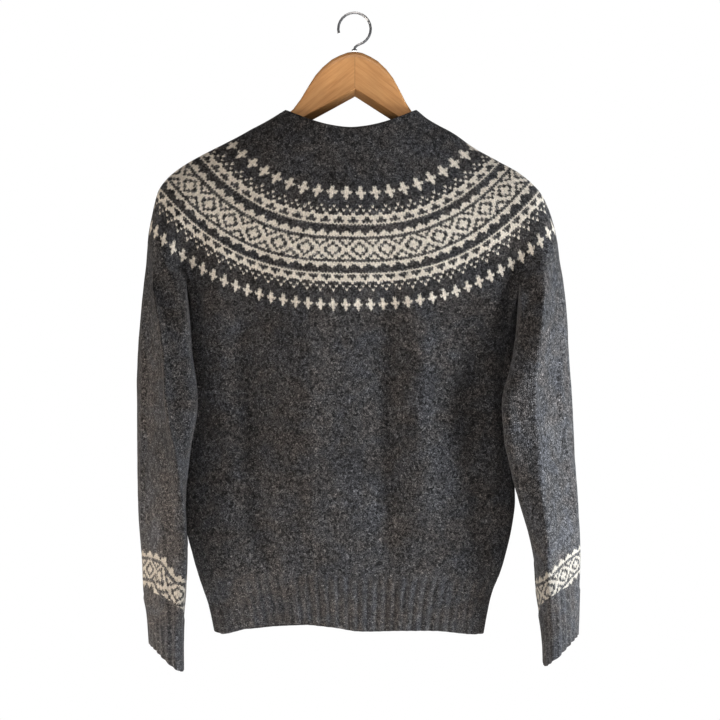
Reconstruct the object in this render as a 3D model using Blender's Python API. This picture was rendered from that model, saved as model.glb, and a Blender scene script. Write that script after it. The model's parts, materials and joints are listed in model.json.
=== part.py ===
import math

import bmesh
import bpy
from mathutils import Vector

# Empty scene
for item in list(bpy.data.objects):
    bpy.data.objects.remove(item, do_unlink=True)

# Sizes in millimetres
# X runs to the viewer's right, the front faces -Y, and Z is 0 where the hook rests
MM = 0.001
WALL = 2.5
HALF_GAP = 0.15
UNDERARM_GAP = 0.3
UNDERARM_DROP = 0.2
CORNER_WALL = 1.2
FRONT_COLUMNS = 28
SHOULDER_COLUMNS = 10
UNDERARM_COLUMNS = 4
BODY_HALF = FRONT_COLUMNS + UNDERARM_COLUMNS
SLEEVE_COLUMNS = 2 * SHOULDER_COLUMNS + UNDERARM_COLUMNS
ARMPIT_ANGLE = 36.0
GROOVE_ANGLE = 7.0
SWELL_ANGLE = 30.0
UNDERARM_SAG = 5.0
YOKE_END = 48.5
YOKE_ROUND = 0.92
HEM_RIBS = 64
HEM_SEAM = -711.0
HEM_EDGE = -779.0
CUFF_RIBS = 18
CUFF_START = 0.87
BODY_OVAL = 0.21
BODY_BLEND = 0.4
SLEEVE_BLEND = 0.2
STEPS = 160
LAP_STEPS = 720
RIB_OUT = 1.0
RIB_IN = 0.7
WOOD_TILT = 2.0
WOOD_SHIFT = 1.8
NOTCH_SHIFT = 1.9
WOOD_HALF = 7.5
WOOD_TIP = 197
HOOK_RADIUS = 19.0
WIRE = 1.6


def table(names, *rows):
    """Columns by name; the first column is the key, in rising order."""
    return dict(zip(names.split(), zip(*rows)))


def read(data, column, at):
    """Smooth value of a column at a key, held at both ends."""
    keys = next(iter(data.values()))
    values = data[column]
    if at <= keys[0]:
        return values[0]
    if at >= keys[-1]:
        return values[-1]
    i = 0
    while keys[i + 1] < at:
        i += 1
    span = keys[i + 1] - keys[i]
    slope = []
    for j in (i, i + 1):
        low = max(j - 1, 0)
        high = min(j + 1, len(keys) - 1)
        slope.append((values[high] - values[low]) / (keys[high] - keys[low]))
    t = (at - keys[i]) / span
    a = (1 + 2 * t) * (1 - t) ** 2 * values[i] + t * (1 - t) ** 2 * span * slope[0]
    b = t * t * (3 - 2 * t) * values[i + 1] + t * t * (t - 1) * span * slope[1]
    return a + b


# Rings of neckband and yoke, keyed by knit row
YOKE = table(
    "row front_z back_z left_x left_z right_x right_z front_y back_y swell groove bend",
    (-21, -146.5, -143.0, -88.3, -121.9, 79.4, -121.9, 30, 26, 0.00, 0, 1.7),
    (-14, -169.8, -161.0, -107.3, -133.3, 95.9, -134.6, 32, 27, 0.00, 0, 2.1),
    (-4, -206.5, -195.0, -141.6, -152.4, 130.2, -154.9, 34, 29, 0.00, 0, 2.5),
    (2.5, -228.0, -216.0, -159.4, -161.9, 150.5, -168.9, 36, 31, 0.00, 0, 2.6),
    (13.5, -267.4, -256.0, -196.2, -180.3, 183.5, -188.0, 39, 34, 0.05, 0, 2.6),
    (23.5, -300.8, -291.2, -226.7, -198.8, 210.2, -202.6, 41, 36, 0.30, 0, 2.7),
    (32.5, -330.5, -322.8, -247.0, -221.6, 234.3, -224.8, 43, 38, 0.70, 1, 2.7),
    (38.5, -349.9, -344.2, -254.0, -242.6, 245.1, -245.1, 44, 39, 1.00, 4, 2.7),
    (43.5, -368.8, -363.2, -259.7, -269.2, 254.0, -270.5, 45, 40, 1.40, 8, 2.6),
    (48.5, -386.5, -382.3, -262.3, -289.6, 258.4, -290.8, 46, 41, 1.70, 12, 2.5),
)

# Edges and depths of the body, keyed by the drop below the hook
BODY = table(
    "drop left_x right_x front_y back_y",
    (300, -213.0, 207.0, 43, 37),
    (330, -211.5, 206.5, 45, 39),
    (363, -208.0, 204.0, 46, 40),
    (426, -207.5, 201.5, 46, 41),
    (490, -207.0, 199.5, 46, 42),
    (553, -211.5, 201.0, 46, 42),
    (617, -214.5, 204.0, 45, 42),
    (655, -213.5, 199.0, 44, 41),
    (688, -205.0, 191.0, 42, 39),
    (711, -198.8, 184.2, 39, 37),
    (729, -192.4, 176.5, 37, 35),
    (749, -185.5, 171.0, 35, 33),
    (786, -177.5, 163.8, 34, 32),
)

# Lower edge of the hem rib around the body
HEM = table(
    "column low_z",
    (0, -781.0), (1.5, -785.5), (3.7, -780.4), (5.7, -774.7), (9.6, -771.5), (14.3, -776.0),
    (17, -780.8), (22, -780.4), (26, -781.0), (30, -785.8), (32, -785.0), (36, -780.0),
    (40, -777.0), (48, -776.0), (56, -778.0), (60, -781.5), (64, -781.0),
)

# Edges of both sleeves, keyed by the drop below the hook
SLEEVE_EDGES = table(
    "drop left_outer left_inner right_inner right_outer",
    (287, -262.3, -212.6, 206.0, 258.4),
    (315, -264.8, -212.6, 206.0, 262.3),
    (345, -269.0, -210.4, 204.6, 266.8),
    (380, -272.8, -207.6, 202.6, 270.8),
    (427, -276.5, -204.0, 198.6, 273.5),
    (490, -278.0, -197.5, 185.4, 278.8),
    (554, -276.8, -205.0, 192.0, 281.3),
    (617, -276.0, -211.0, 202.0, 285.3),
    (688, -271.1, -213.5, 221.6, 287.4),
    (731, -268.6, -215.3, 226.7, 285.8),
    (760, -263.5, -216.5, 231.8, 285.1),
    (795, -261.0, -217.8, 236.9, 283.8),
    (831, -258.4, -217.8, 238.8, 281.3),
)

# Depth, turn and lean of a sleeve's sections, keyed by the share of its length
# A crease is an upright ridge in front; its place is a share of the width, from the outer edge
SLEEVE_FORM = table(
    "share half_y middle_y left_turn right_turn lean left_crease right_crease",
    (0.00, 40, -1, 0, 0, 0, 0.06, 0.25),
    (0.05, 45, -2, 20, 20, 0, 0.12, 0.28),
    (0.12, 49, -3, 28, 28, 0, 0.24, 0.33),
    (0.22, 52, -4, 31, 33, 2, 0.36, 0.39),
    (0.36, 54, -7, 40, 50, 6, 0.42, 0.44),
    (0.50, 53, -7, 36, 46, 9, 0.62, 0.47),
    (0.65, 50, -6, 30, 34, 12, 0.80, 0.53),
    (0.80, 47, -4, 24, 26, 14, 0.86, 0.60),
    (0.87, 45, -3, 22, 22, 12, 0.86, 0.62),
    (0.93, 44, -2, 21, 21, 4, 0.86, 0.62),
    (1.00, 44, -2, 20, 20, -3, 0.86, 0.62),
)
CREASE_OUT = {"left": 6.0, "right": 5.0}
CREASE_WIDTH = {"left": 0.11, "right": 0.16}

# Heights of a sleeve's outer and inner points at its top and bottom
SLEEVE_ENDS = {
    "left": dict(outer=(-289.6, -800.0), inner=(-329.0, -830.6)),
    "right": dict(outer=(-290.8, -788.0), inner=(-329.0, -824.0)),
}

# Soft upright folds of the body; out is negative for a trough
FOLDS = table(
    "x_high x_low width out front",
    (-168, -172, 20, 4, 1), (-134, -108, 22, -9, 1), (-62, -40, 30, 3, 1),
    (34, 40, 22, -7, 1), (83, 86, 24, 4.5, 1), (150, 165, 24, -9, 1),
    (-140, -128, 22, -5, 0), (-50, -40, 28, 4, 0), (34, 44, 22, -5, 0), (120, 112, 26, 4, 0),
)

# Folds grow below the yoke and weaken at the hem
FOLD_SHARE = table(
    "drop share",
    (270, 0.0), (330, 0.25), (420, 1.0), (640, 1.0), (711, 0.55), (786, 0.35),
)


def fold(x, z, front):
    drop = -z
    along = min(max((drop - 330) / 400, 0), 1)
    total = 0
    for high, low, width, out, face in zip(*FOLDS.values()):
        if bool(face) == front:
            centre = high + (low - high) * along
            total += out * math.exp(-(((x - centre) / width) ** 2))
    return total * read(FOLD_SHARE, "share", drop)


def yoke_curve(row, angle):
    """Point of a yoke ring; the angle runs from the left ridge by the front."""
    left = Vector((read(YOKE, "left_x", row), read(YOKE, "left_z", row)))
    right = Vector((read(YOKE, "right_x", row), read(YOKE, "right_z", row)))
    across = -math.cos(angle)
    out = math.sin(angle)
    front = out >= 0
    name = "front" if front else "back"
    ends = left.lerp(right, (1 + across) / 2)
    middle = read(YOKE, name + "_z", row) - (left[1] + right[1]) / 2
    z = ends[1] + middle * (1 - abs(across) ** read(YOKE, "bend", row))
    turn = math.degrees(math.asin(min(abs(out), 1)))
    depth = read(YOKE, name + "_y", row) * abs(out) ** YOKE_ROUND
    depth *= 1 + read(YOKE, "swell", row) * math.exp(-((turn / SWELL_ANGLE) ** 2))
    depth -= read(YOKE, "groove", row) * math.exp(-(((turn - ARMPIT_ANGLE) / GROOVE_ANGLE) ** 2))
    depth += fold(ends[0], z, front) * abs(out) ** 2
    return Vector((ends[0], -depth if front else depth, z))


def even(curve, start, end, shares):
    """Points of a curve at given shares of its length."""
    spots = [curve(start + (end - start) * i / STEPS) for i in range(STEPS + 1)]
    runs = [0.0]
    for a, b in zip(spots, spots[1:]):
        runs.append(runs[-1] + (b - a).length)
    found = []
    i = 0
    for share in shares:
        goal = share * runs[-1]
        while i < STEPS - 1 and runs[i + 1] < goal:
            i += 1
        part = (goal - runs[i]) / max(runs[i + 1] - runs[i], 1e-9)
        found.append(curve(start + (end - start) * (i + part) / STEPS))
    return found


def length_share(curve, start, end, stop):
    runs = []
    for goal in (stop, end):
        spots = [curve(start + (goal - start) * i / STEPS) for i in range(STEPS + 1)]
        runs.append(sum((b - a).length for a, b in zip(spots, spots[1:])))
    return runs[0] / runs[1]


def armpit_shares(start):
    """Length shares of both armpits on half of the yoke's last ring."""
    turn = math.radians(ARMPIT_ANGLE)

    def curve(angle):
        return yoke_curve(YOKE_END, angle)

    first = length_share(curve, start, start + math.pi, start + turn)
    last = length_share(curve, start, start + math.pi, start + math.pi - turn)
    return first, last


ARMPITS = (armpit_shares(0.0), armpit_shares(math.pi))


def yoke_ring(row, fine=1):
    """One ring of the yoke: the front half, then the back half."""
    ring = []
    for half in (0, 1):
        first, last = ARMPITS[half]
        shares = []
        for count, low, high in ((SHOULDER_COLUMNS, 0, first), (FRONT_COLUMNS, first, last),
                                 (SHOULDER_COLUMNS, last, 1)):
            shares += [low + (high - low) * i / (count * fine) for i in range(count * fine)]
        start = half * math.pi
        ring += even(lambda angle: yoke_curve(row, angle), start, start + math.pi, shares)
    return ring


def underarm(front, back, fine=1):
    """Points between the two armpit corners, corners left out."""
    count = UNDERARM_COLUMNS * fine
    spots = []
    for i in range(1, count):
        spot = front.lerp(back, i / count)
        spot.z -= UNDERARM_SAG * math.sin(math.pi * i / count)
        spots.append(spot)
    return spots


def lap_angles():
    """Angles of an oval of the body's shape at even lengths."""
    runs = [0.0]
    for i in range(LAP_STEPS):
        angle = math.pi * (i + 0.5) / LAP_STEPS
        runs.append(runs[-1] + math.hypot(math.sin(angle), BODY_OVAL * math.cos(angle)))
    return [run / runs[-1] for run in runs]


LAPS = lap_angles()


def lap(share):
    last = LAP_STEPS - 1
    i = min(max(int(share * LAP_STEPS), 0), last)
    while i > 0 and LAPS[i] > share:
        i -= 1
    while i < last and LAPS[i + 1] < share:
        i += 1
    return math.pi * (i + (share - LAPS[i]) / (LAPS[i + 1] - LAPS[i])) / LAP_STEPS


def body_section(column, z):
    """Point of the body's section at a height; columns run as on the yoke."""
    half = int(column // BODY_HALF) % 2
    angle = lap((column % BODY_HALF) / BODY_HALF)
    across = -math.cos(angle) if half == 0 else math.cos(angle)
    out = math.sin(angle)
    left = read(BODY, "left_x", -z)
    right = read(BODY, "right_x", -z)
    x = left + (right - left) * (1 + across) / 2
    depth = read(BODY, "front_y" if half == 0 else "back_y", -z) * out
    depth += fold(x, z, half == 0) * out ** 2
    return Vector((x, -depth if half == 0 else depth, z))


def seam_z(column):
    return HEM_SEAM + 0.4 * (read(HEM, "low_z", column) - HEM_EDGE)


def ease(t):
    t = min(max(t, 0), 1)
    return t * t * (3 - 2 * t)


def body_top(ring, fine=1):
    """Top ring of the body: yoke seam and both underarms."""
    arm = SHOULDER_COLUMNS * fine
    wide = FRONT_COLUMNS * fine
    half = arm * 2 + wide
    under = UNDERARM_COLUMNS * fine
    corners = {"front_left": ring[arm], "front_right": ring[arm + wide],
               "back_right": ring[half + arm], "back_left": ring[half + arm + wide]}
    left = underarm(corners["back_left"], corners["front_left"], fine)
    right = underarm(corners["front_right"], corners["back_right"], fine)
    middle = under // 2
    top = left[middle - 1:] + ring[arm:arm + wide + 1] + right
    top += ring[half + arm:half + arm + wide + 1] + left[:middle - 1]
    return top


def body_rows(ring, shares, fine=1):
    top = body_top(ring, fine)
    rows = []
    for share in shares:
        row = []
        for i, start in enumerate(top):
            column = i / fine
            z = start.z + (seam_z(column) - start.z) * share
            shift = start - body_section(column, start.z)
            row.append(body_section(column, z) + shift * (1 - ease(share / BODY_BLEND)))
        rows.append(row)
    return rows


def hem_rows(shares, per_rib=3):
    rows = []
    for share in shares:
        row = []
        for i in range(HEM_RIBS * per_rib):
            column = 2 * BODY_HALF * i / (HEM_RIBS * per_rib)
            top = seam_z(column)
            z = top + (read(HEM, "low_z", column) - top) * share
            row.append(body_section(column, z))
        rows.append(row)
    return rows


def sleeve_curve(side, share, angle):
    """Point of a sleeve's section; the angle runs from outside by the front."""
    ends = SLEEVE_ENDS[side]
    outer_z = ends["outer"][0] + (ends["outer"][1] - ends["outer"][0]) * share
    inner_z = ends["inner"][0] + (ends["inner"][1] - ends["inner"][0]) * share
    outer_x = read(SLEEVE_EDGES, side + "_outer", -outer_z)
    inner_x = read(SLEEVE_EDGES, side + "_inner", -inner_z)
    inward = (1 - math.cos(angle)) / 2
    turn = math.radians(read(SLEEVE_FORM, side + "_turn", share))
    front = math.sin(angle - turn)
    x = outer_x + (inner_x - outer_x) * inward
    y = read(SLEEVE_FORM, "middle_y", share) - read(SLEEVE_FORM, "half_y", share) * front
    aside = (inward - read(SLEEVE_FORM, side + "_crease", share)) / CREASE_WIDTH[side]
    y -= CREASE_OUT[side] * math.exp(-aside * aside) * max(math.sin(angle), 0)
    z = outer_z + (inner_z - outer_z) * inward + read(SLEEVE_FORM, "lean", share) * front
    return Vector((x, y, z))


def sleeve_ring(side, share, count):
    shares = [i / count for i in range(count)]
    return even(lambda angle: sleeve_curve(side, share, angle), 0, 2 * math.pi, shares)


def sleeve_top(ring, side, fine=1):
    arm = SHOULDER_COLUMNS * fine
    wide = FRONT_COLUMNS * fine
    half = arm * 2 + wide
    if side == "left":
        front = ring[:arm + 1]
        back = ring[half + arm + wide:]
    else:
        front = [ring[half - i] for i in range(arm + 1)]
        back = [ring[half + arm - i] for i in range(arm)]
    return front + underarm(front[-1], back[0], fine) + back


def sleeve_rows(ring, side, shares, fine=1):
    top = sleeve_top(ring, side, fine)
    first = sleeve_ring(side, 0, len(top))
    shifts = [a - b for a, b in zip(top, first)]
    rows = []
    for share in shares:
        weight = 1 - ease(share / SLEEVE_BLEND)
        spots = sleeve_ring(side, share, len(top))
        rows.append([spot + shift * weight for spot, shift in zip(spots, shifts)])
    return rows


def cuff_rows(side, shares, per_rib=3):
    return [sleeve_ring(side, CUFF_START + (1 - CUFF_START) * share, CUFF_RIBS * per_rib)
            for share in shares]


def normals(rows, closed=True, flip=False):
    """Sums of face normals at every point of a grid."""
    sums = [[Vector() for spot in row] for row in rows]
    wide = len(rows[0])
    for r in range(len(rows) - 1):
        for c in range(wide if closed else wide - 1):
            d = (c + 1) % wide
            a = rows[r + 1][d] - rows[r][c]
            b = rows[r][d] - rows[r + 1][c]
            face = b.cross(a) if flip else a.cross(b)
            for row, column in ((r, c), (r, d), (r + 1, c), (r + 1, d)):
                sums[row][column] += face
    return sums


def offset(rows, directions, distance):
    return [[spot - way.normalized() * distance for spot, way in zip(row, ways)]
            for row, ways in zip(rows, directions)]


def pulled(outer, inner, row, gap=HALF_GAP):
    """Moves one end row of a wall back along the wall for its seam."""
    near = 1 if row == 0 else len(outer) - 2
    wide = len(outer[row])
    moved = []
    for c in range(wide):
        way = (outer[near][c] - outer[row][c]).normalized()
        run = (outer[row][(c + 1) % wide] - outer[row][c - 1]).normalized()
        square = max((way - run * way.dot(run)).length, 0.5)
        moved.append(way * gap / square)
    outer[row] = [spot + move for spot, move in zip(outer[row], moved)]
    inner[row] = [spot + move for spot, move in zip(inner[row], moved)]


def new_material(name, colour, rough, metal=0.0):
    material = bpy.data.materials.new(name)
    material.use_nodes = True
    surface = material.node_tree.nodes["Principled BSDF"]
    surface.inputs["Base Color"].default_value = (*colour, 1)
    surface.inputs["Roughness"].default_value = rough
    surface.inputs["Metallic"].default_value = metal
    return material


COLLECTION = bpy.data.collections.new("fair_isle_pullover")
bpy.context.scene.collection.children.link(COLLECTION)


def add_object(name, spots, faces, colour, rough, metal=0.0, smooth=True):
    mesh = bpy.data.meshes.new(name)
    mesh.from_pydata([tuple(spot * MM) for spot in spots], [], faces)
    shape = bmesh.new()
    shape.from_mesh(mesh)
    bmesh.ops.recalc_face_normals(shape, faces=shape.faces)
    shape.to_mesh(mesh)
    shape.free()
    for face in mesh.polygons:
        face.use_smooth = smooth
    mesh.materials.append(new_material(name, colour, rough, metal))
    thing = bpy.data.objects.new(name, mesh)
    COLLECTION.objects.link(thing)
    return thing


def add_shell(name, outer, inner, colour, closed=True):
    """A closed wall between two grids of the same size."""
    high = len(outer)
    wide = len(outer[0])
    spots = [spot for row in outer for spot in row] + [spot for row in inner for spot in row]
    skip = high * wide
    faces = []
    for r in range(high - 1):
        for c in range(wide if closed else wide - 1):
            d = (c + 1) % wide
            a, b, e, f = r * wide + c, r * wide + d, (r + 1) * wide + d, (r + 1) * wide + c
            faces.append((a, f, e, b))
            faces.append((a + skip, b + skip, e + skip, f + skip))
    for r in (0, high - 1):
        for c in range(wide if closed else wide - 1):
            a, b = r * wide + c, r * wide + (c + 1) % wide
            faces.append((a, b, b + skip, a + skip))
    if not closed:
        for c in (0, wide - 1):
            for r in range(high - 1):
                a, b = r * wide + c, (r + 1) * wide + c
                faces.append((a, b, b + skip, a + skip))
    return add_object(name, spots, faces, colour, 0.9)


CHARCOAL = (0.045, 0.043, 0.043)
PALE = (0.55, 0.50, 0.40)

# Neckband and yoke
NECK_SHARES = (-21.0, -17.5, -14.0)
YOKE_SHARES = (-14.0, -4.0, 5.0, 14.0, 23.0, 31.0, 38.0, 43.5, 48.5)
neck_and_yoke = [yoke_ring(row) for row in NECK_SHARES + YOKE_SHARES[1:]]
yoke_ways = normals(neck_and_yoke)
split = len(NECK_SHARES) - 1
last_ring = neck_and_yoke[-1]

body = body_rows(last_ring, [i / 11 for i in range(12)])
body_ways = normals(body)
sleeves = {}
sleeve_ways = {}
SLEEVE_SHARES = [CUFF_START * i / 14 for i in range(15)]
for side in ("left", "right"):
    sleeves[side] = sleeve_rows(last_ring, side, SLEEVE_SHARES)
    sleeve_ways[side] = normals(sleeves[side], flip=side == "right")

# Shared directions along the yoke's seam
ARM = SHOULDER_COLUMNS
HALF = 2 * SHOULDER_COLUMNS + FRONT_COLUMNS
UNDER = UNDERARM_COLUMNS // 2


def share_way(column, ways, index):
    both = yoke_ways[-1][column % (2 * HALF)].normalized() + ways[0][index].normalized()
    yoke_ways[-1][column % (2 * HALF)] = both
    ways[0][index] = both


for half in (0, 1):
    for i in range(1, FRONT_COLUMNS):
        share_way(half * HALF + ARM + i, body_ways, half * BODY_HALF + UNDER + i)
for i in range(-ARM + 1, ARM):
    share_way(i, sleeve_ways["left"], i % SLEEVE_COLUMNS)
    share_way(HALF - i, sleeve_ways["right"], i % SLEEVE_COLUMNS)


def corner(rows, inner, index, neighbour, yoke_column):
    """Wall corner at an armpit, kept on the yoke's seam surface."""
    way = yoke_ways[-1][yoke_column % (2 * HALF)].normalized()
    start = rows[0][index] - way * WALL
    run = inner[0][neighbour] - start
    inner[0][index] = start + run.normalized() * WALL * CORNER_WALL


body_inner = offset(body, body_ways, WALL)
sleeve_inner = {side: offset(sleeves[side], sleeve_ways[side], WALL) for side in sleeves}
corner(body, body_inner, UNDER, UNDER + 1, ARM)
corner(body, body_inner, BODY_HALF - UNDER, BODY_HALF - UNDER - 1, ARM + FRONT_COLUMNS)
corner(body, body_inner, BODY_HALF + UNDER, BODY_HALF + UNDER + 1, HALF + ARM)
corner(body, body_inner, 2 * BODY_HALF - UNDER, 2 * BODY_HALF - UNDER - 1, 2 * HALF - ARM)
for side, front_column, back_column in (("left", ARM, 2 * HALF - ARM),
                                        ("right", HALF - ARM, HALF + ARM)):
    corner(sleeves[side], sleeve_inner[side], ARM, ARM - 1, front_column)
    corner(sleeves[side], sleeve_inner[side], ARM + UNDERARM_COLUMNS,
           ARM + UNDERARM_COLUMNS + 1, back_column)


def level_row(rows, inner, ways, row, plane):
    """Keeps a wall's end face in the plane of its ring."""
    for c, way in enumerate(ways[row]):
        flat = way - plane * way.dot(plane)
        inner[row][c] = rows[row][c] - flat.normalized() * WALL


def sleeve_plane(side, share):
    a, b, c = (sleeve_curve(side, share, angle) for angle in (0.3, 2.4, 4.5))
    return (b - a).cross(c - a).normalized()


level_row(body, body_inner, body_ways, -1, Vector((0, 0, 1)))
for side in sleeves:
    plane = sleeve_plane(side, CUFF_START)
    level_row(sleeves[side], sleeve_inner[side], sleeve_ways[side], -1, plane)

upper_inner = offset(neck_and_yoke, yoke_ways, WALL)
neck_outer = [list(row) for row in neck_and_yoke[:split + 1]]
neck_inner = [list(row) for row in upper_inner[:split + 1]]
yoke_outer = [list(row) for row in neck_and_yoke[split:]]
yoke_inner = [list(row) for row in upper_inner[split:]]
pulled(neck_outer, neck_inner, len(neck_outer) - 1)
pulled(yoke_outer, yoke_inner, 0)
pulled(yoke_outer, yoke_inner, len(yoke_outer) - 1)
add_shell("neckband", neck_outer, neck_inner, CHARCOAL)
add_shell("yoke", yoke_outer, yoke_inner, PALE)

# Body front and back
pulled(body, body_inner, 0)
pulled(body, body_inner, len(body) - 1)
for side_column, inward in ((0, 1), (BODY_HALF, -1)):
    for i in range(-UNDER, UNDER + 1):
        for grid in (body, body_inner):
            spot = grid[0][(side_column + i) % (2 * BODY_HALF)]
            spot.x += UNDERARM_GAP * inward
            spot.z -= UNDERARM_DROP
for side in sleeves:
    outward = -1 if side == "left" else 1
    pulled(sleeves[side], sleeve_inner[side], 0)
    pulled(sleeves[side], sleeve_inner[side], len(sleeves[side]) - 1)
    for i in range(ARM, ARM + UNDERARM_COLUMNS + 1):
        for grid in (sleeves[side], sleeve_inner[side]):
            grid[0][i].x += UNDERARM_GAP * outward
            grid[0][i].z -= 2 * UNDERARM_DROP


def panel(rows, first, last):
    """Part of a ring grid with its side edges pulled back for the side seam."""
    wide = len(rows[0])
    part = [[row[i % wide].copy() for i in range(first, last + 1)] for row in rows]
    for row in part:
        row[0] += (row[1] - row[0]).normalized() * HALF_GAP
        row[-1] += (row[-2] - row[-1]).normalized() * HALF_GAP
    return part


add_shell("body_front", panel(body, 0, BODY_HALF), panel(body_inner, 0, BODY_HALF), CHARCOAL, False)
add_shell("body_back", panel(body, BODY_HALF, 2 * BODY_HALF),
          panel(body_inner, BODY_HALF, 2 * BODY_HALF), CHARCOAL, False)
for side in sleeves:
    add_shell("sleeve_" + side, sleeves[side], sleeve_inner[side], CHARCOAL)


def ribbed(name, rows, ways, plane):
    """A ribbed wall: raised crests outside, plain inside."""
    crests = (-RIB_IN, RIB_OUT, RIB_OUT)
    outer = []
    inner = []
    for row, directions in zip(rows, ways):
        ring = []
        back = []
        for c, (spot, way) in enumerate(zip(row, directions)):
            flat = (way - plane * way.dot(plane)).normalized()
            ring.append(spot + flat * crests[c % 3])
            back.append(spot - flat * WALL)
        outer.append(ring)
        inner.append(back)
    drop = (rows[-1][0] - rows[0][0]).normalized() * HALF_GAP
    outer[0] = [spot + drop for spot in outer[0]]
    inner[0] = [spot + drop for spot in inner[0]]
    return add_shell(name, outer, inner, CHARCOAL)


hem = hem_rows((0.0, 0.5, 1.0))
ribbed("hem_rib", hem, normals(hem), Vector((0, 0, 1)))
for side in sleeves:
    cuff = cuff_rows(side, (0.0, 0.5, 1.0))
    ribbed("cuff_" + side, cuff, normals(cuff, flip=side == "right"), sleeve_plane(side, CUFF_START))

# Wooden hanger, cut in sections from its middle to a tip
WOOD = table(
    "x top_z low_z heel",
    (0, -47.6, -95.6, 9), (9.5, -49.2, -101.2, 9), (20, -53.6, -107.5, 9), (29.2, -58.8, -113.0, 9),
    (40.6, -69.0, -119.7, 9), (49.5, -79.8, -125.0, 9), (57, -92.5, -129.5, 8), (67, -110.5, -135.5, 7),
    (76, -123.5, -141.0, 6), (90, -135.8, -150.0, 6), (112, -149.2, -165.5, 5), (147, -169.3, -188.0, 5),
    (180, -187.8, -207.0, 5), (197, -197.0, -215.0, 4), (203, -203.0, -212.5, 3),
)


def wood_section(x):
    top = read(WOOD, "top_z", abs(x))
    low = read(WOOD, "low_z", abs(x - NOTCH_SHIFT))
    heel = read(WOOD, "heel", abs(x))
    w = WOOD_HALF * (1 if abs(x) < WOOD_TIP else 0.7)
    r = min(6.0, (top - low) * 0.3)
    spots = [(0, top), (-w * 0.62, top - r * 0.22), (-w * 0.94, top - r * 0.66), (-w, top - r * 1.2),
             (-w, low + 1), (-w + 1, low), (w - 1.5, low - heel), (w, low - heel + 1.5),
             (w, top - r * 1.2), (w * 0.94, top - r * 0.66), (w * 0.62, top - r * 0.22)]
    return [Vector((x, y, z)) for y, z in spots]


def tilted(spot):
    """Wood hangs a little lower on the right, turned about the hook's middle."""
    turn = math.radians(WOOD_TILT)
    z = spot.z + HOOK_RADIUS
    return Vector((spot.x * math.cos(turn) + z * math.sin(turn) + WOOD_SHIFT, spot.y,
                   z * math.cos(turn) - spot.x * math.sin(turn) - HOOK_RADIUS))


stations = sorted({-x for x in WOOD["x"]} | set(WOOD["x"]) | {-129, 129, -163, 163, NOTCH_SHIFT})
rings = [[tilted(spot) for spot in wood_section(x)] for x in stations]
count = len(rings[0])
spots = [spot for ring in rings for spot in ring]
faces = []
for r in range(len(rings) - 1):
    for c in range(count):
        d = (c + 1) % count
        faces.append((r * count + c, r * count + d, (r + 1) * count + d, (r + 1) * count + c))
faces.append(tuple(range(count)))
faces.append(tuple((len(rings) - 1) * count + c for c in reversed(range(count))))
add_object("hanger", spots, faces, (0.50, 0.28, 0.13), 0.45)

# Steel hook in the hanger's plane, a bent wire with a small collar on the wood
path = [(0, -47.1, 3.4), (0, -44.9, 3.4), (0, -44.6, WIRE), (0.8, -42.2, WIRE), (4.0, -39.6, WIRE)]
for degrees in range(-58, 212, 15):
    angle = math.radians(degrees)
    ring = HOOK_RADIUS + WIRE
    path.append((ring * math.cos(angle), ring * math.sin(angle) - HOOK_RADIUS, WIRE))
curve = bpy.data.curves.new("hanger_hook", "CURVE")
curve.dimensions = "3D"
curve.bevel_depth = WIRE * MM
curve.bevel_resolution = 2
curve.use_fill_caps = True
wire = curve.splines.new("POLY")
wire.points.add(len(path) - 1)
for point, (x, z, radius) in zip(wire.points, path):
    point.co = (x * MM, 0, z * MM, 1)
    point.radius = radius / WIRE
curve.materials.append(new_material("hanger_hook", (0.55, 0.56, 0.58), 0.3, 1.0))
COLLECTION.objects.link(bpy.data.objects.new("hanger_hook", curve))
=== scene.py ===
# %% [markdown]
# # Fair isle pullover on a wooden hanger
#
# A charcoal wool pullover with a cream stranded yoke and cuff bands hangs on a light wooden hanger.
# It could be modelled as a rough shirt that a cloth simulation drops over the hanger. Here the CAD
# walls already hang as the real one does, so the script follows their curves with finer rings, gives
# every stitch a place in a UV map, and lets the materials draw stitches, yarn and colour chart.
# That keeps the pattern where a knitter puts it, stitch by stitch, and hangs the same at each run.

# %% Load the CAD frame
import json
import math

import bpy
import numpy as np
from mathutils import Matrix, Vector, noise

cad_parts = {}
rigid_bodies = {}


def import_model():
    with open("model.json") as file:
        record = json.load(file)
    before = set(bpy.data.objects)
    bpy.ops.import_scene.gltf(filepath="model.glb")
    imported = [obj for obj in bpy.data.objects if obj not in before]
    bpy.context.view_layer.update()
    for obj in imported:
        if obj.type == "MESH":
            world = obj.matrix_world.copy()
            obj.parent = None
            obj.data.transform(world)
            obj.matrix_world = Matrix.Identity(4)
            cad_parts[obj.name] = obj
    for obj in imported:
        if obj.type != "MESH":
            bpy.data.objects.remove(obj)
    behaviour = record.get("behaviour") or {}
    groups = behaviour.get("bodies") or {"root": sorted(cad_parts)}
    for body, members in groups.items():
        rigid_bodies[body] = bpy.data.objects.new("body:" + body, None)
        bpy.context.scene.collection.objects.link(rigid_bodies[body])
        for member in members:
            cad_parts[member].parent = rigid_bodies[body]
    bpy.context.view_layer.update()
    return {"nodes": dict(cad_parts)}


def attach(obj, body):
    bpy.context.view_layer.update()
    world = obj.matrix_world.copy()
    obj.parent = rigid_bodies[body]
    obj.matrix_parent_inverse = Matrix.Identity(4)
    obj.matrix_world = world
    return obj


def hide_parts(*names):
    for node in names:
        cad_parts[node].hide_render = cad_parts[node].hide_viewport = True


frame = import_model()
print("CAD nodes:", ", ".join(sorted(frame["nodes"])))

# %% [markdown]
# ## Measured tables
#
# A garment is known by a few measured places: its edges, seams and depths at some heights. They could
# be control points that are pulled by hand, but a table is easy to read and to correct, like a knitting
# pattern, and a smooth curve through its rows gives every height between. All sizes are in millimetres:
# X to the viewer's right, the front towards -Y, and Z zero where the hook rests on its rail.

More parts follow.
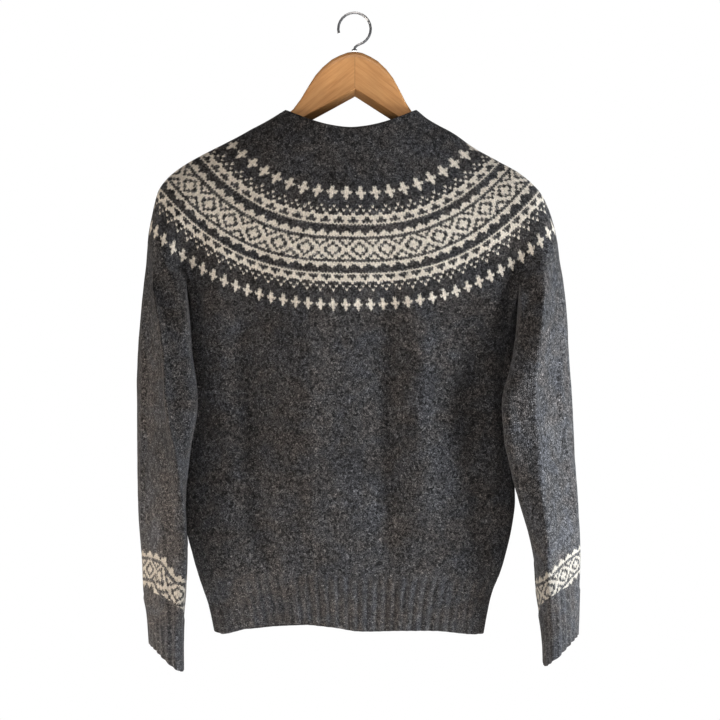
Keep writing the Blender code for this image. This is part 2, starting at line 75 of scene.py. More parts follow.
# %% Read a table smoothly
def table(names, *rows):
    """Columns by name; the first column is the key, in rising order."""
    return dict(zip(names.split(), zip(*rows)))


def read(data, column, at):
    """Smooth value of a column at a key, held at both ends."""
    keys = next(iter(data.values()))
    values = data[column]
    if at <= keys[0]:
        return values[0]
    if at >= keys[-1]:
        return values[-1]
    i = 0
    while keys[i + 1] < at:
        i += 1
    span = keys[i + 1] - keys[i]
    slope = []
    for j in (i, i + 1):
        low = max(j - 1, 0)
        high = min(j + 1, len(keys) - 1)
        slope.append((values[high] - values[low]) / (keys[high] - keys[low]))
    t = (at - keys[i]) / span
    a = (1 + 2 * t) * (1 - t) ** 2 * values[i] + t * (1 - t) ** 2 * span * slope[0]
    b = t * t * (3 - 2 * t) * values[i + 1] + t * t * (t - 1) * span * slope[1]
    return a + b


print("halfway between two rows:", read(table("drop width", (0, 10.0), (2, 14.0)), "width", 1))

# %% [markdown]
# ## Broad folds
#
# Wool that hangs from a yoke falls in a few broad, upright folds. A simulation would throw its own folds.
# Here each fold is a smooth wave, out or in, at a measured place, so the shadows fall where they do on
# the real one. The folds grow below the yoke and weaken at the hem, where the rib draws the cloth in.

# %% Folds of the body
FOLDS = table(
    # out is negative for a trough
    "x_high x_low width out front",
    (-168, -172, 20, 4, 1), (-134, -108, 22, -9, 1), (-62, -40, 30, 3, 1),
    (34, 40, 22, -7, 1), (83, 86, 24, 4.5, 1), (150, 165, 24, -9, 1),
    (-140, -128, 22, -5, 0), (-50, -40, 28, 4, 0), (34, 44, 22, -5, 0), (120, 112, 26, 4, 0),
)
FOLD_SHARE = table(
    "drop share",
    (270, 0.0), (330, 0.25), (420, 1.0), (640, 1.0), (711, 0.55), (786, 0.35),
)
FOLD_TOP = 330
FOLD_LENGTH = 400


def fold(x, z, front):
    """How far the folds stand out at a place of the front or the back."""
    drop = -z
    along = min(max((drop - FOLD_TOP) / FOLD_LENGTH, 0), 1)
    total = 0
    for high, low, width, out, face in zip(*FOLDS.values()):
        if bool(face) == front:
            centre = high + (low - high) * along
            total += out * math.exp(-(((x - centre) / width) ** 2))
    return total * read(FOLD_SHARE, "share", drop)


print("broad folds:", len(FOLDS["out"]))

# %% [markdown]
# ## Neckband and round yoke
#
# Neckband and yoke are one funnel, knitted in rings from the neck out over the shoulders. A spun profile
# would give a round funnel, but this one hangs nearly flat on the hanger's arms. So each ring runs
# through four measured points, the middle of front and back and the ridge of each shoulder, and gets
# its roundness from a power curve. The last rings swell over the sleeves and dip at the armpits.

# %% Rings of neckband and yoke
YOKE = table(
    # a line for each ring, keyed by knit row; bend is how flat its middle runs
    "row front_z back_z left_x left_z right_x right_z front_y back_y swell groove bend",
    (-21, -146.5, -143.0, -88.3, -121.9, 79.4, -121.9, 30, 26, 0.00, 0, 1.7),
    (-14, -169.8, -161.0, -107.3, -133.3, 95.9, -134.6, 32, 27, 0.00, 0, 2.1),
    (-4, -206.5, -195.0, -141.6, -152.4, 130.2, -154.9, 34, 29, 0.00, 0, 2.5),
    (2.5, -228.0, -216.0, -159.4, -161.9, 150.5, -168.9, 36, 31, 0.00, 0, 2.6),
    (13.5, -267.4, -256.0, -196.2, -180.3, 183.5, -188.0, 39, 34, 0.05, 0, 2.6),
    (23.5, -300.8, -291.2, -226.7, -198.8, 210.2, -202.6, 41, 36, 0.30, 0, 2.7),
    (32.5, -330.5, -322.8, -247.0, -221.6, 234.3, -224.8, 43, 38, 0.70, 1, 2.7),
    (38.5, -349.9, -344.2, -254.0, -242.6, 245.1, -245.1, 44, 39, 1.00, 4, 2.7),
    (43.5, -368.8, -363.2, -259.7, -269.2, 254.0, -270.5, 45, 40, 1.40, 8, 2.6),
    (48.5, -386.5, -382.3, -262.3, -289.6, 258.4, -290.8, 46, 41, 1.70, 12, 2.5),
)
YOKE_END = 48.5
YOKE_ROUND = 0.92
ARMPIT_ANGLE = 36.0
GROOVE_ANGLE = 7.0
SWELL_ANGLE = 30.0


def yoke_curve(row, angle):
    """Point of a yoke ring; the angle runs from the left ridge by the front."""
    left = Vector((read(YOKE, "left_x", row), read(YOKE, "left_z", row)))
    right = Vector((read(YOKE, "right_x", row), read(YOKE, "right_z", row)))
    across = -math.cos(angle)
    out = math.sin(angle)
    front = out >= 0
    name = "front" if front else "back"
    ends = left.lerp(right, (1 + across) / 2)
    middle = read(YOKE, name + "_z", row) - (left[1] + right[1]) / 2
    z = ends[1] + middle * (1 - abs(across) ** read(YOKE, "bend", row))
    turn = math.degrees(math.asin(min(abs(out), 1)))
    depth = read(YOKE, name + "_y", row) * abs(out) ** YOKE_ROUND
    depth *= 1 + read(YOKE, "swell", row) * math.exp(-((turn / SWELL_ANGLE) ** 2))
    depth -= read(YOKE, "groove", row) * math.exp(-(((turn - ARMPIT_ANGLE) / GROOVE_ANGLE) ** 2))
    depth += fold(ends[0], z, front) * abs(out) ** 2
    return Vector((ends[0], -depth if front else depth, z))


print("measured rings:", len(YOKE["row"]))

# %% [markdown]
# ## Points at even steps
#
# Stitches have one width all round a ring, so the points of a ring should stand evenly along its length,
# not at even angles. The curve is walked in small steps and cut at shares of its length. Each half of
# the last yoke ring has two armpits, where body and sleeve part, and those fall on points of every ring.

# %% Walk a curve
STEPS = 160


def even(curve, start, end, shares):
    """Points of a curve at given shares of its length."""
    spots = [curve(start + (end - start) * i / STEPS) for i in range(STEPS + 1)]
    runs = [0.0]
    for a, b in zip(spots, spots[1:]):
        runs.append(runs[-1] + (b - a).length)
    found = []
    i = 0
    for share in shares:
        goal = share * runs[-1]
        while i < STEPS - 1 and runs[i + 1] < goal:
            i += 1
        part = (goal - runs[i]) / max(runs[i + 1] - runs[i], 1e-9)
        found.append(curve(start + (end - start) * (i + part) / STEPS))
    return found


def length_share(curve, start, end, stop):
    """Share of a curve's length that lies before a stop."""
    runs = []
    for goal in (stop, end):
        spots = [curve(start + (goal - start) * i / STEPS) for i in range(STEPS + 1)]
        runs.append(sum((b - a).length for a, b in zip(spots, spots[1:])))
    return runs[0] / runs[1]


print("steps along a curve:", STEPS)

# %% Even points round the yoke
FINE = 4
# Points over a shoulder, across front or back, and on half of a ring
ARM = 10 * FINE
WIDE = 28 * FINE
HALF = 2 * ARM + WIDE


def armpit_shares(start):
    """Length shares of both armpits on half of the yoke's last ring."""
    turn = math.radians(ARMPIT_ANGLE)

    def curve(angle):
        return yoke_curve(YOKE_END, angle)

    first = length_share(curve, start, start + math.pi, start + turn)
    last = length_share(curve, start, start + math.pi, start + math.pi - turn)
    return first, last


ARMPITS = (armpit_shares(0.0), armpit_shares(math.pi))


def yoke_ring(row):
    """One ring of the yoke: the front half, then the back half."""
    ring = []
    for half in (0, 1):
        first, last = ARMPITS[half]
        shares = []
        for count, low, high in ((ARM, 0, first), (WIDE, first, last), (ARM, last, 1)):
            shares += [low + (high - low) * i / count for i in range(count)]
        start = half * math.pi
        ring += even(lambda angle: yoke_curve(row, angle), start, start + math.pi, shares)
    return ring


print("points round a ring:", 2 * HALF, "armpits at", [round(share, 3) for share in ARMPITS[0]])

# %% [markdown]
# ## Body and hem
#
# The body is a plain tube, flat as it hangs, that goes on from the yoke between the armpits and ends in
# a rib. It could be two panels, but in the round there is no edge to hide. Each section is an oval
# between measured edges, with the folds added. The top ring is the yoke's own seam, and the body
# eases from that ring to its ovals. The rib's lower edge waves as soft wool does.

# %% Measured body
BODY = table(
    # edges and depths, keyed by the drop below the hook
    "drop left_x right_x front_y back_y",
    (300, -213.0, 207.0, 43, 37),
    (330, -211.5, 206.5, 45, 39),
    (363, -208.0, 204.0, 46, 40),
    (426, -207.5, 201.5, 46, 41),
    (490, -207.0, 199.5, 46, 42),
    (553, -211.5, 201.0, 46, 42),
    (617, -214.5, 204.0, 45, 42),
    (655, -213.5, 199.0, 44, 41),
    (688, -205.0, 191.0, 42, 39),
    (711, -198.8, 184.2, 39, 37),
    (729, -192.4, 176.5, 37, 35),
    (749, -185.5, 171.0, 35, 33),
    (786, -177.5, 163.8, 34, 32),
)
print("body at its widest:", max(right - left for left, right in zip(BODY["left_x"], BODY["right_x"])), "mm")

# %% Ovals of the body
# Columns of points on the front or the back, as the CAD walls have
BODY_HALF = 32
BODY_OVAL = 0.21
LAP_STEPS = 720


def lap_lengths():
    """Share of half the body's oval that lies before each step of its angle."""
    runs = [0.0]
    for i in range(LAP_STEPS):
        angle = math.pi * (i + 0.5) / LAP_STEPS
        runs.append(runs[-1] + math.hypot(math.sin(angle), BODY_OVAL * math.cos(angle)))
    return [run / runs[-1] for run in runs]


LAPS = lap_lengths()


def lap(share):
    """Angle on the oval at a share of its half length."""
    last = LAP_STEPS - 1
    i = min(max(int(share * LAP_STEPS), 0), last)
    while i > 0 and LAPS[i] > share:
        i -= 1
    while i < last and LAPS[i + 1] < share:
        i += 1
    return math.pi * (i + (share - LAPS[i]) / (LAPS[i + 1] - LAPS[i])) / LAP_STEPS


def body_section(column, z):
    """Point of the body's section at a height; columns run as on the yoke."""
    half = int(column // BODY_HALF) % 2
    angle = lap((column % BODY_HALF) / BODY_HALF)
    across = -math.cos(angle) if half == 0 else math.cos(angle)
    out = math.sin(angle)
    left = read(BODY, "left_x", -z)
    right = read(BODY, "right_x", -z)
    x = left + (right - left) * (1 + across) / 2
    depth = read(BODY, "front_y" if half == 0 else "back_y", -z) * out
    depth += fold(x, z, half == 0) * out ** 2
    return Vector((x, -depth if half == 0 else depth, z))


print("body 500 mm down, middle of the front:", [round(value) for value in body_section(16, -500)])

# %% Top ring of the body
# Points across an underarm
UNDER = 4 * FINE
UNDERARM_SAG = 5.0


def underarm(front, back):
    """Points between the two armpit corners, corners left out."""
    spots = []
    for i in range(1, UNDER):
        spot = front.lerp(back, i / UNDER)
        spot.z -= UNDERARM_SAG * math.sin(math.pi * i / UNDER)
        spots.append(spot)
    return spots


def body_top(ring):
    """Top ring of the body: yoke seam and both underarms."""
    front, back = ring[ARM:ARM + WIDE + 1], ring[HALF + ARM:HALF + ARM + WIDE + 1]
    left = underarm(back[-1], front[0])
    right = underarm(front[-1], back[0])
    middle = UNDER // 2 - 1
    return left[middle:] + front + right + back + left[:middle]


print("points across an underarm:", UNDER)

# %% Rows of the body and the hem
BODY_BLEND = 0.4
HEM_RIBS = 64
RIB_POINTS = 10
HEM_SEAM = -711.0
HEM_EDGE = -779.0
HEM_FOLLOWS = 0.4
HEM = table(
    # lower edge of the rib round the body
    "column low_z",
    (0, -781.0), (1.5, -785.5), (3.7, -780.4), (5.7, -774.7), (9.6, -771.5), (14.3, -776.0),
    (17, -780.8), (22, -780.4), (26, -781.0), (30, -785.8), (32, -785.0), (36, -780.0),
    (40, -777.0), (48, -776.0), (56, -778.0), (60, -781.5), (64, -781.0),
)


def ease(t):
    """Soft step from 0 to 1."""
    t = min(max(t, 0), 1)
    return t * t * (3 - 2 * t)


def seam_z(column):
    """Height of the seam between body and rib, which follows the rib's edge in part."""
    return HEM_SEAM + HEM_FOLLOWS * (read(HEM, "low_z", column) - HEM_EDGE)


def body_rows(ring, shares):
    """Rings of the body at shares of its length."""
    rows = []
    for share in shares:
        row = []
        for i, start in enumerate(body_top(ring)):
            column = i / FINE
            z = start.z + (seam_z(column) - start.z) * share
            shift = start - body_section(column, start.z)
            row.append(body_section(column, z) + shift * (1 - ease(share / BODY_BLEND)))
        rows.append(row)
    return rows


def hem_rows(shares):
    """Rings of the rib at shares of its length."""
    points = HEM_RIBS * RIB_POINTS
    rows = []
    for share in shares:
        row = []
        for i in range(points):
            column = 2 * BODY_HALF * i / points
            top = seam_z(column)
            z = top + (read(HEM, "low_z", column) - top) * share
            row.append(body_section(column, z))
        rows.append(row)
    return rows


print("rib below the middle of the front:", round(seam_z(16) - read(HEM, "low_z", 16), 1), "mm")

# %% [markdown]
# ## Sleeves
#
# Each sleeve is a tube that hangs beside the body, turned a little so that its outside faces forward,
# with one long crease where the tube folds over itself. It could be an extruded circle bent by hand. A
# table of edges, depth, turn and crease down the sleeve gives the same tube with every bend in its place,
# and its top ring is the yoke's seam over the shoulder, so sleeve and yoke meet without a gap.

# %% Measured sleeves
SLEEVE_EDGES = table(
    # keyed by the drop below the hook
    "drop left_outer left_inner right_inner right_outer",
    (287, -262.3, -212.6, 206.0, 258.4),
    (315, -264.8, -212.6, 206.0, 262.3),
    (345, -269.0, -210.4, 204.6, 266.8),
    (380, -272.8, -207.6, 202.6, 270.8),
    (427, -276.5, -204.0, 198.6, 273.5),
    (490, -278.0, -197.5, 185.4, 278.8),
    (554, -276.8, -205.0, 192.0, 281.3),
    (617, -276.0, -211.0, 202.0, 285.3),
    (688, -271.1, -213.5, 221.6, 287.4),
    (731, -268.6, -215.3, 226.7, 285.8),
    (760, -263.5, -216.5, 231.8, 285.1),
    (795, -261.0, -217.8, 236.9, 283.8),
    (831, -258.4, -217.8, 238.8, 281.3),
)
SLEEVE_FORM = table(
    # keyed by the share of the sleeve's length; a crease's place is a share of the width
    "share half_y middle_y left_turn right_turn lean left_crease right_crease",
    (0.00, 40, -1, 0, 0, 0, 0.06, 0.25),
    (0.05, 45, -2, 20, 20, 0, 0.12, 0.28),
    (0.12, 49, -3, 28, 28, 0, 0.24, 0.33),
    (0.22, 52, -4, 31, 33, 2, 0.36, 0.39),
    (0.36, 54, -7, 40, 50, 6, 0.42, 0.44),
    (0.50, 53, -7, 36, 46, 9, 0.62, 0.47),
    (0.65, 50, -6, 30, 34, 12, 0.80, 0.53),
    (0.80, 47, -4, 24, 26, 14, 0.86, 0.60),
    (0.87, 45, -3, 22, 22, 12, 0.86, 0.62),
    (0.93, 44, -2, 21, 21, 4, 0.86, 0.62),
    (1.00, 44, -2, 20, 20, -3, 0.86, 0.62),
)
CREASE_OUT = {"left": 6.0, "right": 5.0}
CREASE_WIDTH = {"left": 0.11, "right": 0.16}
# Heights of a sleeve's outer and inner points at its top and bottom
SLEEVE_ENDS = {
    "left": dict(outer=(-289.6, -800.0), inner=(-329.0, -830.6)),
    "right": dict(outer=(-290.8, -788.0), inner=(-329.0, -824.0)),
}
sleeve_start, sleeve_stop = SLEEVE_ENDS["left"]["outer"]
print("left sleeve along the outside:", round(sleeve_start - sleeve_stop), "mm")

# %% Rings of a sleeve
SLEEVE_BLEND = 0.2


def sleeve_curve(side, share, angle):
    """Point of a sleeve's section; the angle runs from outside by the front."""
    ends = SLEEVE_ENDS[side]
    outer_z = ends["outer"][0] + (ends["outer"][1] - ends["outer"][0]) * share
    inner_z = ends["inner"][0] + (ends["inner"][1] - ends["inner"][0]) * share
    outer_x = read(SLEEVE_EDGES, side + "_outer", -outer_z)
    inner_x = read(SLEEVE_EDGES, side + "_inner", -inner_z)
    inward = (1 - math.cos(angle)) / 2
    turn = math.radians(read(SLEEVE_FORM, side + "_turn", share))
    front = math.sin(angle - turn)
    x = outer_x + (inner_x - outer_x) * inward
    y = read(SLEEVE_FORM, "middle_y", share) - read(SLEEVE_FORM, "half_y", share) * front
    aside = (inward - read(SLEEVE_FORM, side + "_crease", share)) / CREASE_WIDTH[side]
    y -= CREASE_OUT[side] * math.exp(-aside * aside) * max(math.sin(angle), 0)
    z = outer_z + (inner_z - outer_z) * inward + read(SLEEVE_FORM, "lean", share) * front
    return Vector((x, y, z))


def sleeve_ring(side, share, count):
    """Even points of a sleeve's section."""
    shares = [i / count for i in range(count)]
    return even(lambda angle: sleeve_curve(side, share, angle), 0, 2 * math.pi, shares)


def sleeve_top(ring, side):
    """Top ring of a sleeve: the yoke's seam over the shoulder and the underarm."""
    if side == "left":
        front = ring[:ARM + 1]
        back = ring[HALF + ARM + WIDE:]
    else:
        front = [ring[HALF - i] for i in range(ARM + 1)]
        back = [ring[HALF + ARM - i] for i in range(ARM)]
    return front + underarm(front[-1], back[0]) + back


def sleeve_rows(ring, side, shares):
    """Rings of a sleeve at shares of its length."""
    top = sleeve_top(ring, side)
    shifts = [a - b for a, b in zip(top, sleeve_ring(side, 0, len(top)))]
    rows = []
    for share in shares:
        weight = 1 - ease(share / SLEEVE_BLEND)
        spots = sleeve_ring(side, share, len(top))
        rows.append([spot + shift * weight for spot, shift in zip(spots, shifts)])
    return rows


print("points round a sleeve:", 2 * ARM + UNDER)

# %% [markdown]
# ## Rows of the chart
#
# A knitter counts rows, and so does the colour chart. On the hanger the rows lie a little closer or
# wider apart, as the cloth slants. The pattern alone could be shifted in the material, but stitches and
# colours would then come apart. So a ring is made at every chart row, at the height where that row was
# read off the real yoke, and both follow it.

# %% A ring for every chart row
RING_ROWS = (
    # ring of the table, chart row
    (-21, -21), (0.3, 0), (4.75, 5), (6.65, 7), (8.1, 8), (9.35, 9), (10.35, 10), (11.1, 11),
    (12.2, 12), (13.1, 13), (14.0, 14), (16.0, 16), (16.7, 17), (17.55, 18), (18.5, 19), (19.4, 20),
    (27.2, 28), (28.0, 29), (30.4, 32), (32.2, 34), (33.05, 35), (34.1, 36), (34.95, 37), (35.85, 38),
    (36.8, 39), (37.95, 40), (39.4, 41), (41.85, 43), (45.55, 48), (YOKE_END, 50.5),
)
NECK_ROWS = [-21 + 0.5 * i for i in range(15)]
YOKE_ROWS = [*range(-14, 51), 50.5]


def ring_of(row):
    """Ring of the tables at a chart row."""
    ring_numbers, chart_rows = zip(*RING_ROWS)
    return float(np.interp(row, chart_rows, ring_numbers))


rings = {row: yoke_ring(ring_of(row)) for row in set(NECK_ROWS) | set(YOKE_ROWS)}
seam_ring = rings[YOKE_ROWS[-1]]
print("rings of neckband and yoke:", len(rings))

# %% Grids of points for every piece
BODY_LEVELS = [i / 52 for i in range(53)]
CUFF_START = 0.87
CUFF_RIBS = 18
SLEEVE_LEVELS = [CUFF_START * i / 87 for i in range(88)]
RIB_LEVELS = [0, 0.02, 0.05, 0.09, 0.14] + [0.2 + 0.1 * i for i in range(9)]
CUFF_LEVELS = [CUFF_START + (1 - CUFF_START) * share for share in RIB_LEVELS]


def grid(rows):
    """Array of the points of some rings."""
    return np.array([[tuple(spot) for spot in row] for row in rows])


grids = {
    "neckband": grid([rings[row] for row in NECK_ROWS]),
    "yoke": grid([rings[row] for row in YOKE_ROWS]),
    "body": grid(body_rows(seam_ring, BODY_LEVELS)),
}
grids["body"][0] = grid([body_top(seam_ring)])[0]
for side in ("left", "right"):
    grids["sleeve_" + side] = grid(sleeve_rows(seam_ring, side, SLEEVE_LEVELS))
    grids["sleeve_" + side][0] = grid([sleeve_top(seam_ring, side)])[0]
    grids["cuff_" + side] = grid([sleeve_ring(side, share, CUFF_RIBS * RIB_POINTS) for share in CUFF_LEVELS])
grids["hem"] = grid(hem_rows(RIB_LEVELS))
for name, points in grids.items():
    print(name, "has", points.shape[0], "rings of", points.shape[1], "points")

# %% [markdown]
# ## Which way the cloth faces
#
# Pieces of one garment run on into each other. If each were shaded alone, every seam would show as a
# crease. A weld would cure that but make one object of all. So the faces round a place are summed over
# all the pieces that meet there, and pieces share the normal while each stays its own object.

# %% Normals that neighbours share
FLIPS = {"sleeve_right", "cuff_right"}


def face_sums(points, flip):
    """Sums of the face normals round every point of a ring grid."""
    after = np.roll(points, -1, axis=1)
    face = np.cross(after[1:] - points[:-1], after[:-1] - points[1:])
    if flip:
        face = -face
    both = face + np.roll(face, 1, axis=1)
    sums = np.zeros_like(points)
    sums[:-1] += both
    sums[1:] += both
    return sums


def joined_normals():
    """Unit normals of all grids; points in the same place share one."""
    points = np.concatenate([points.reshape(-1, 3) for points in grids.values()])
    sums = [face_sums(points, name in FLIPS).reshape(-1, 3) for name, points in grids.items()]
    keys, place = np.unique(points, axis=0, return_inverse=True)
    total = np.zeros_like(keys)
    np.add.at(total, place.ravel(), np.concatenate(sums))
    total /= np.linalg.norm(total, axis=1, keepdims=True)
    found = {}
    start = 0
    for name, points in grids.items():
        size = points.shape[0] * points.shape[1]
        found[name] = total[place.ravel()[start:start + size]].reshape(points.shape)
        start += size
    return found


ways = joined_normals()
print("normals for", len(ways), "pieces")

# %% [markdown]
# ## Small folds, creases and ripple
#
# Soft wool is never smooth: it ripples, pinches into sharp creases on the sleeves and rolls over at
# their elbows. A sculpt brush could add that by hand. Here each form is a wave of its own height, width
# and place that pushes the surface along its normals, so it can be read, moved and taken out again. The
# sleeve's crease is a ridge with a crest on it and a drop behind it, where the cloth folds over.

# %% Ripple, and small folds of the body
SMALL_FOLDS = table(
    "x_high x_low width out",
    (-138, -119, 13, -7), (-171, -160, 10, 1.5), (-62, -50, 16, 1.5), (42, 46, 13, -3),
    (86, 90, 12, 2), (138, 150, 14, -2.5), (172, 178, 8, 1.5),
)
SMALL_FOLD_TOP = 440
SMALL_FOLD_LENGTH = 240
# By the drop below the hook, or by the share of the body's length: how much of a form shows there
SMALL_FOLD_SHARE = ((330, 0.0), (420, 1.0), (640, 1.0), (720, 0.6))
SEAM_SHARE = ((0.0, 0.0), (0.12, 1.0), (0.9, 1.0), (1.0, 0.0))
SIDE_SHARE = ((300, 0.0), (340, 1.0), (400, 1.0), (470, 0.0))
HOLLOW_SHARE = ((310, 0.0), (360, 1.0), (520, 1.0), (620, 0.0))
SIDE_OUT = 2.8
SIDE_WIDTH = 4
HOLLOW_IN = 4.5
HOLLOW_PLACE = 10
HOLLOW_WIDTH = 7
BROAD_RIPPLE = 0.75
FINE_RIPPLE = 0.3


def between(at, stops):
    """Value between stops of place and value, held at both ends."""
    return np.interp(at, *zip(*stops))


def ripple(points):
    """Uneven hang of soft wool, in millimetres out of the surface; its waves are longer downwards."""
    found = []
    for x, y, z in points.reshape(-1, 3):
        broad = noise.noise(Vector((x / 34, y / 34 + 7, z / 52)))
        fine = noise.noise(Vector((x / 13, y / 13, z / 17 + 20)))
        found.append(BROAD_RIPPLE * broad + FINE_RIPPLE * fine)
    return np.array(found).reshape(points.shape[:2])


def body_creases(points):
    """Small folds in front, a fuller side that touches the sleeve, and a hollow beside it."""
    x, y, z = points[:, :, 0], points[:, :, 1], points[:, :, 2]
    along = np.clip((-z - SMALL_FOLD_TOP) / SMALL_FOLD_LENGTH, 0, 1)
    grown = between(-z, SMALL_FOLD_SHARE) * (y < 0) * between(BODY_LEVELS, SEAM_SHARE)[:, None]
    total = np.zeros(x.shape)
    for high, low, width, out in zip(*SMALL_FOLDS.values()):
        total += out * np.exp(-(((x - high - (low - high) * along) / width) ** 2))
    side = np.minimum(x - x.min(axis=1)[:, None], x.max(axis=1)[:, None] - x)
    full = between(-z, SIDE_SHARE) * np.exp(-side / SIDE_WIDTH)
    hollow = between(-z, HOLLOW_SHARE) * (y < 0) * np.exp(-(((side - HOLLOW_PLACE) / HOLLOW_WIDTH) ** 2))
    return total * grown + SIDE_OUT * full - HOLLOW_IN * hollow


print("small folds of the body:", len(SMALL_FOLDS["out"]))

# %% Crease and elbow of a sleeve
# Heights and depths are in millimetres, places and widths in shares of the sleeve's width:
# the pinched ridge, the crest on it, the drop behind it, and the hollow that is pressed in beside it
PINCH = {"left": 6.0, "right": 5.5}
PINCH_WIDTH = {"left": 0.095, "right": 0.16}
# Down the sleeve: how far the pinch lies inward of the crease in the CAD wall
PINCH_SHIFT = {"left": ((0.1, 0.11), (0.3, 0.13), (0.5, 0.12), (0.8, 0.05)),
               "right": ((0.1, 0.16), (0.8, 0.10))}
CREST = {"left": 3.2, "right": 1.6}
CREST_WIDTH = 0.042
DROP = {"left": 6.0, "right": 3.0}
DROP_PLACE = -0.05
DROP_EDGE = 0.011
OUTER_EDGE = 0.15
PRESS = {"left": 4.5, "right": 4.0}
PRESS_PLACE = 0.32
PRESS_WIDTH = 0.18
# Down the sleeve: how much of the crease shows
CREASE_SHARE = ((0.02, 0.0), (0.1, 1.0), (0.8, 1.0), (0.9, 0.45))
# Down the sleeve: how far the bend of the elbow stands over the body
ELBOW = {"left": ((0.2, 0), (0.3, 1.5), (0.39, 4), (0.46, 4), (0.58, 0)),
         "right": ((0.28, 0), (0.36, 3), (0.45, 6), (0.58, 0))}
ELBOW_WIDTH = 0.2


def inward_share(points, side):
    """Place across a sleeve, from 0 at its outer edge to 1 at its inner one."""
    x = points[:, :, 0]
    outer, inner = x.min(axis=1), x.max(axis=1)
    if side == "right":
        outer, inner = inner, outer
    return (x - outer[:, None]) / (inner - outer)[:, None]


def sleeve_creases(points, side, shares):
    """Pinched crease down a sleeve's front with a drop behind it, and the elbow's bend."""
    y = points[:, :, 1]
    inward = inward_share(points, side)
    crease = np.array([read(SLEEVE_FORM, side + "_crease", share) for share in shares])[:, None]
    aside = inward - crease - between(shares, PINCH_SHIFT[side])[:, None]
    total = PINCH[side] * np.exp(-((aside / PINCH_WIDTH[side]) ** 2))
    total += CREST[side] * np.exp(-((aside / CREST_WIDTH) ** 2))
    behind = np.clip(inward / OUTER_EDGE, 0, 1) / (1 + np.exp((aside - DROP_PLACE) / DROP_EDGE))
    total -= DROP[side] * behind
    total -= PRESS[side] * np.exp(-(((aside - PRESS_PLACE) / PRESS_WIDTH) ** 2))
    grown = between(shares, CREASE_SHARE)[:, None]
    elbow = between(shares, ELBOW[side])[:, None] * np.exp(-(((1 - inward) / ELBOW_WIDTH) ** 2))
    return total * grown * (y < y.mean(axis=1)[:, None]) + elbow


print("the left crease stands out", PINCH["left"] + CREST["left"], "mm and drops", DROP["left"], "mm behind")

# %% [markdown]
# ## Ribs
#
# Hem and cuffs are 2x2 rib: two plain stitches that stand up, two purl stitches that lie back. Bump in
# a material would leave their edges smooth, and the hem's zigzag edge is easy to see. So each rib is ten
# points wide and really stands out. It rises from nothing in the first rows below the seam.

# %% Shape the surface of every piece
# How far a rib's plain stitches stand out and its purl stitches lie back
RIB_OUT = 1.0
RIB_IN = 0.7
RIB_CROWN = 0.3
RIB_RISE = 0.09
RIB_CALM = 0.6


def relief(name, points):
    """How far a piece's surface stands out of its plain rings."""
    out = ripple(points)
    side = name.split("_")[-1]
    if name == "body":
        out += body_creases(points)
    if name.startswith("sleeve"):
        out += sleeve_creases(points, side, SLEEVE_LEVELS)
    if name.startswith("cuff"):
        out += sleeve_creases(points, side, CUFF_LEVELS) / RIB_CALM
    if name == "hem" or name.startswith("cuff"):
        turn = np.arange(points.shape[1]) % RIB_POINTS / RIB_POINTS
        wave = (0.5 - 0.5 * np.cos(2 * math.pi * turn)) ** 0.8
        crest = -RIB_IN + (RIB_IN + RIB_OUT + RIB_CROWN) * wave
        rise = np.array([ease(share / RIB_RISE) for share in RIB_LEVELS])
        out = out * RIB_CALM + rise[:, None] * crest[None, :]
    return out


for name, points in grids.items():
    out = relief(name, points)
    grids[name] = points + ways[name] * out[:, :, None]
    print(f"{name}: surface moved {out.min():.1f} to {out.max():.1f} mm")
ways = joined_normals()

# %% [markdown]
# ## A map of stitches
#
# A material can only draw a stitch if it knows where the stitch is. Unwrapping would need a scale and a
# seam for every piece. Here the UV map simply counts: U is the stitch number round the piece and V the
# knit row, so the whole numbers are the stitches. The yoke grows as on the needles: more stitches are
# taken up in the plain rows between the bands, and each band's motif is centred where it was seen.

# %% Count stitches round the yoke
# In every map, s counts stitches along the upper and lower edge of a strip of faces, and v its rows
BANDS = (
    # from this chart row on: stitches round, and the motif's shift from the centre front
    (-21, 156, -2.5), (6, 196, -2.8), (15, 240, -3.1), (33, 284, -2.3), (42, 308, -1.4),
)
maps = {}


def closed(values):
    """Values of each ring with the first column repeated at the end."""
    return np.concatenate([values, values[:, :1]], axis=1)


def fractions(points):
    """Share of the way round each ring, with a last column at 1, and the rings' lengths."""
    steps = np.linalg.norm(np.roll(points, -1, axis=1) - points, axis=2)
    run = np.concatenate([np.zeros((len(points), 1)), np.cumsum(steps, axis=1)], axis=1)
    return run / run[:, -1:], run[:, -1]


def yoke_map(rows, points):
    """Stitch numbers and knit rows of neckband and yoke, counted from the centre front."""
    share = fractions(points)[0]
    share = share - share[:, points.shape[1] // 4][:, None]
    bands = [max(band for band in BANDS if band[0] <= (a + b) / 2) for a, b in zip(rows, rows[1:])]
    counts = np.array([band[1] for band in bands])[:, None]
    shifts = np.array([band[2] for band in bands])[:, None]
    down = -np.array(rows)[:, None] * np.ones((1, points.shape[1] + 1))
    across = (share[:-1] * counts + shifts, share[1:] * counts + shifts)
    return dict(s=across, v=(down[:-1], down[1:]))


maps["neckband"] = yoke_map(NECK_ROWS, grids["neckband"])
maps["yoke"] = yoke_map(YOKE_ROWS, grids["yoke"])
yoke_seam = maps["yoke"]["s"][1][-1]
print("stitches at the yoke's seam:", round(yoke_seam[-1] - yoke_seam[0]))

# %% Carry the count down the body and the ribs
STITCH = 4.1
ROW_HEIGHT = 3.42
RIB_ROW = 3.1


def drops(points):
    """Length down each column, with the first column repeated at the end."""
    steps = np.linalg.norm(points[1:] - points[:-1], axis=2)
    return closed(np.concatenate([np.zeros((1, points.shape[1])), np.cumsum(steps, axis=0)]))


def even_map(across, down):
    """Map of a piece with the same stitches in all its rows."""
    across = np.ones((len(down) - 1, 1)) * across
    return dict(s=(across, across), v=(down[:-1], down[1:]))


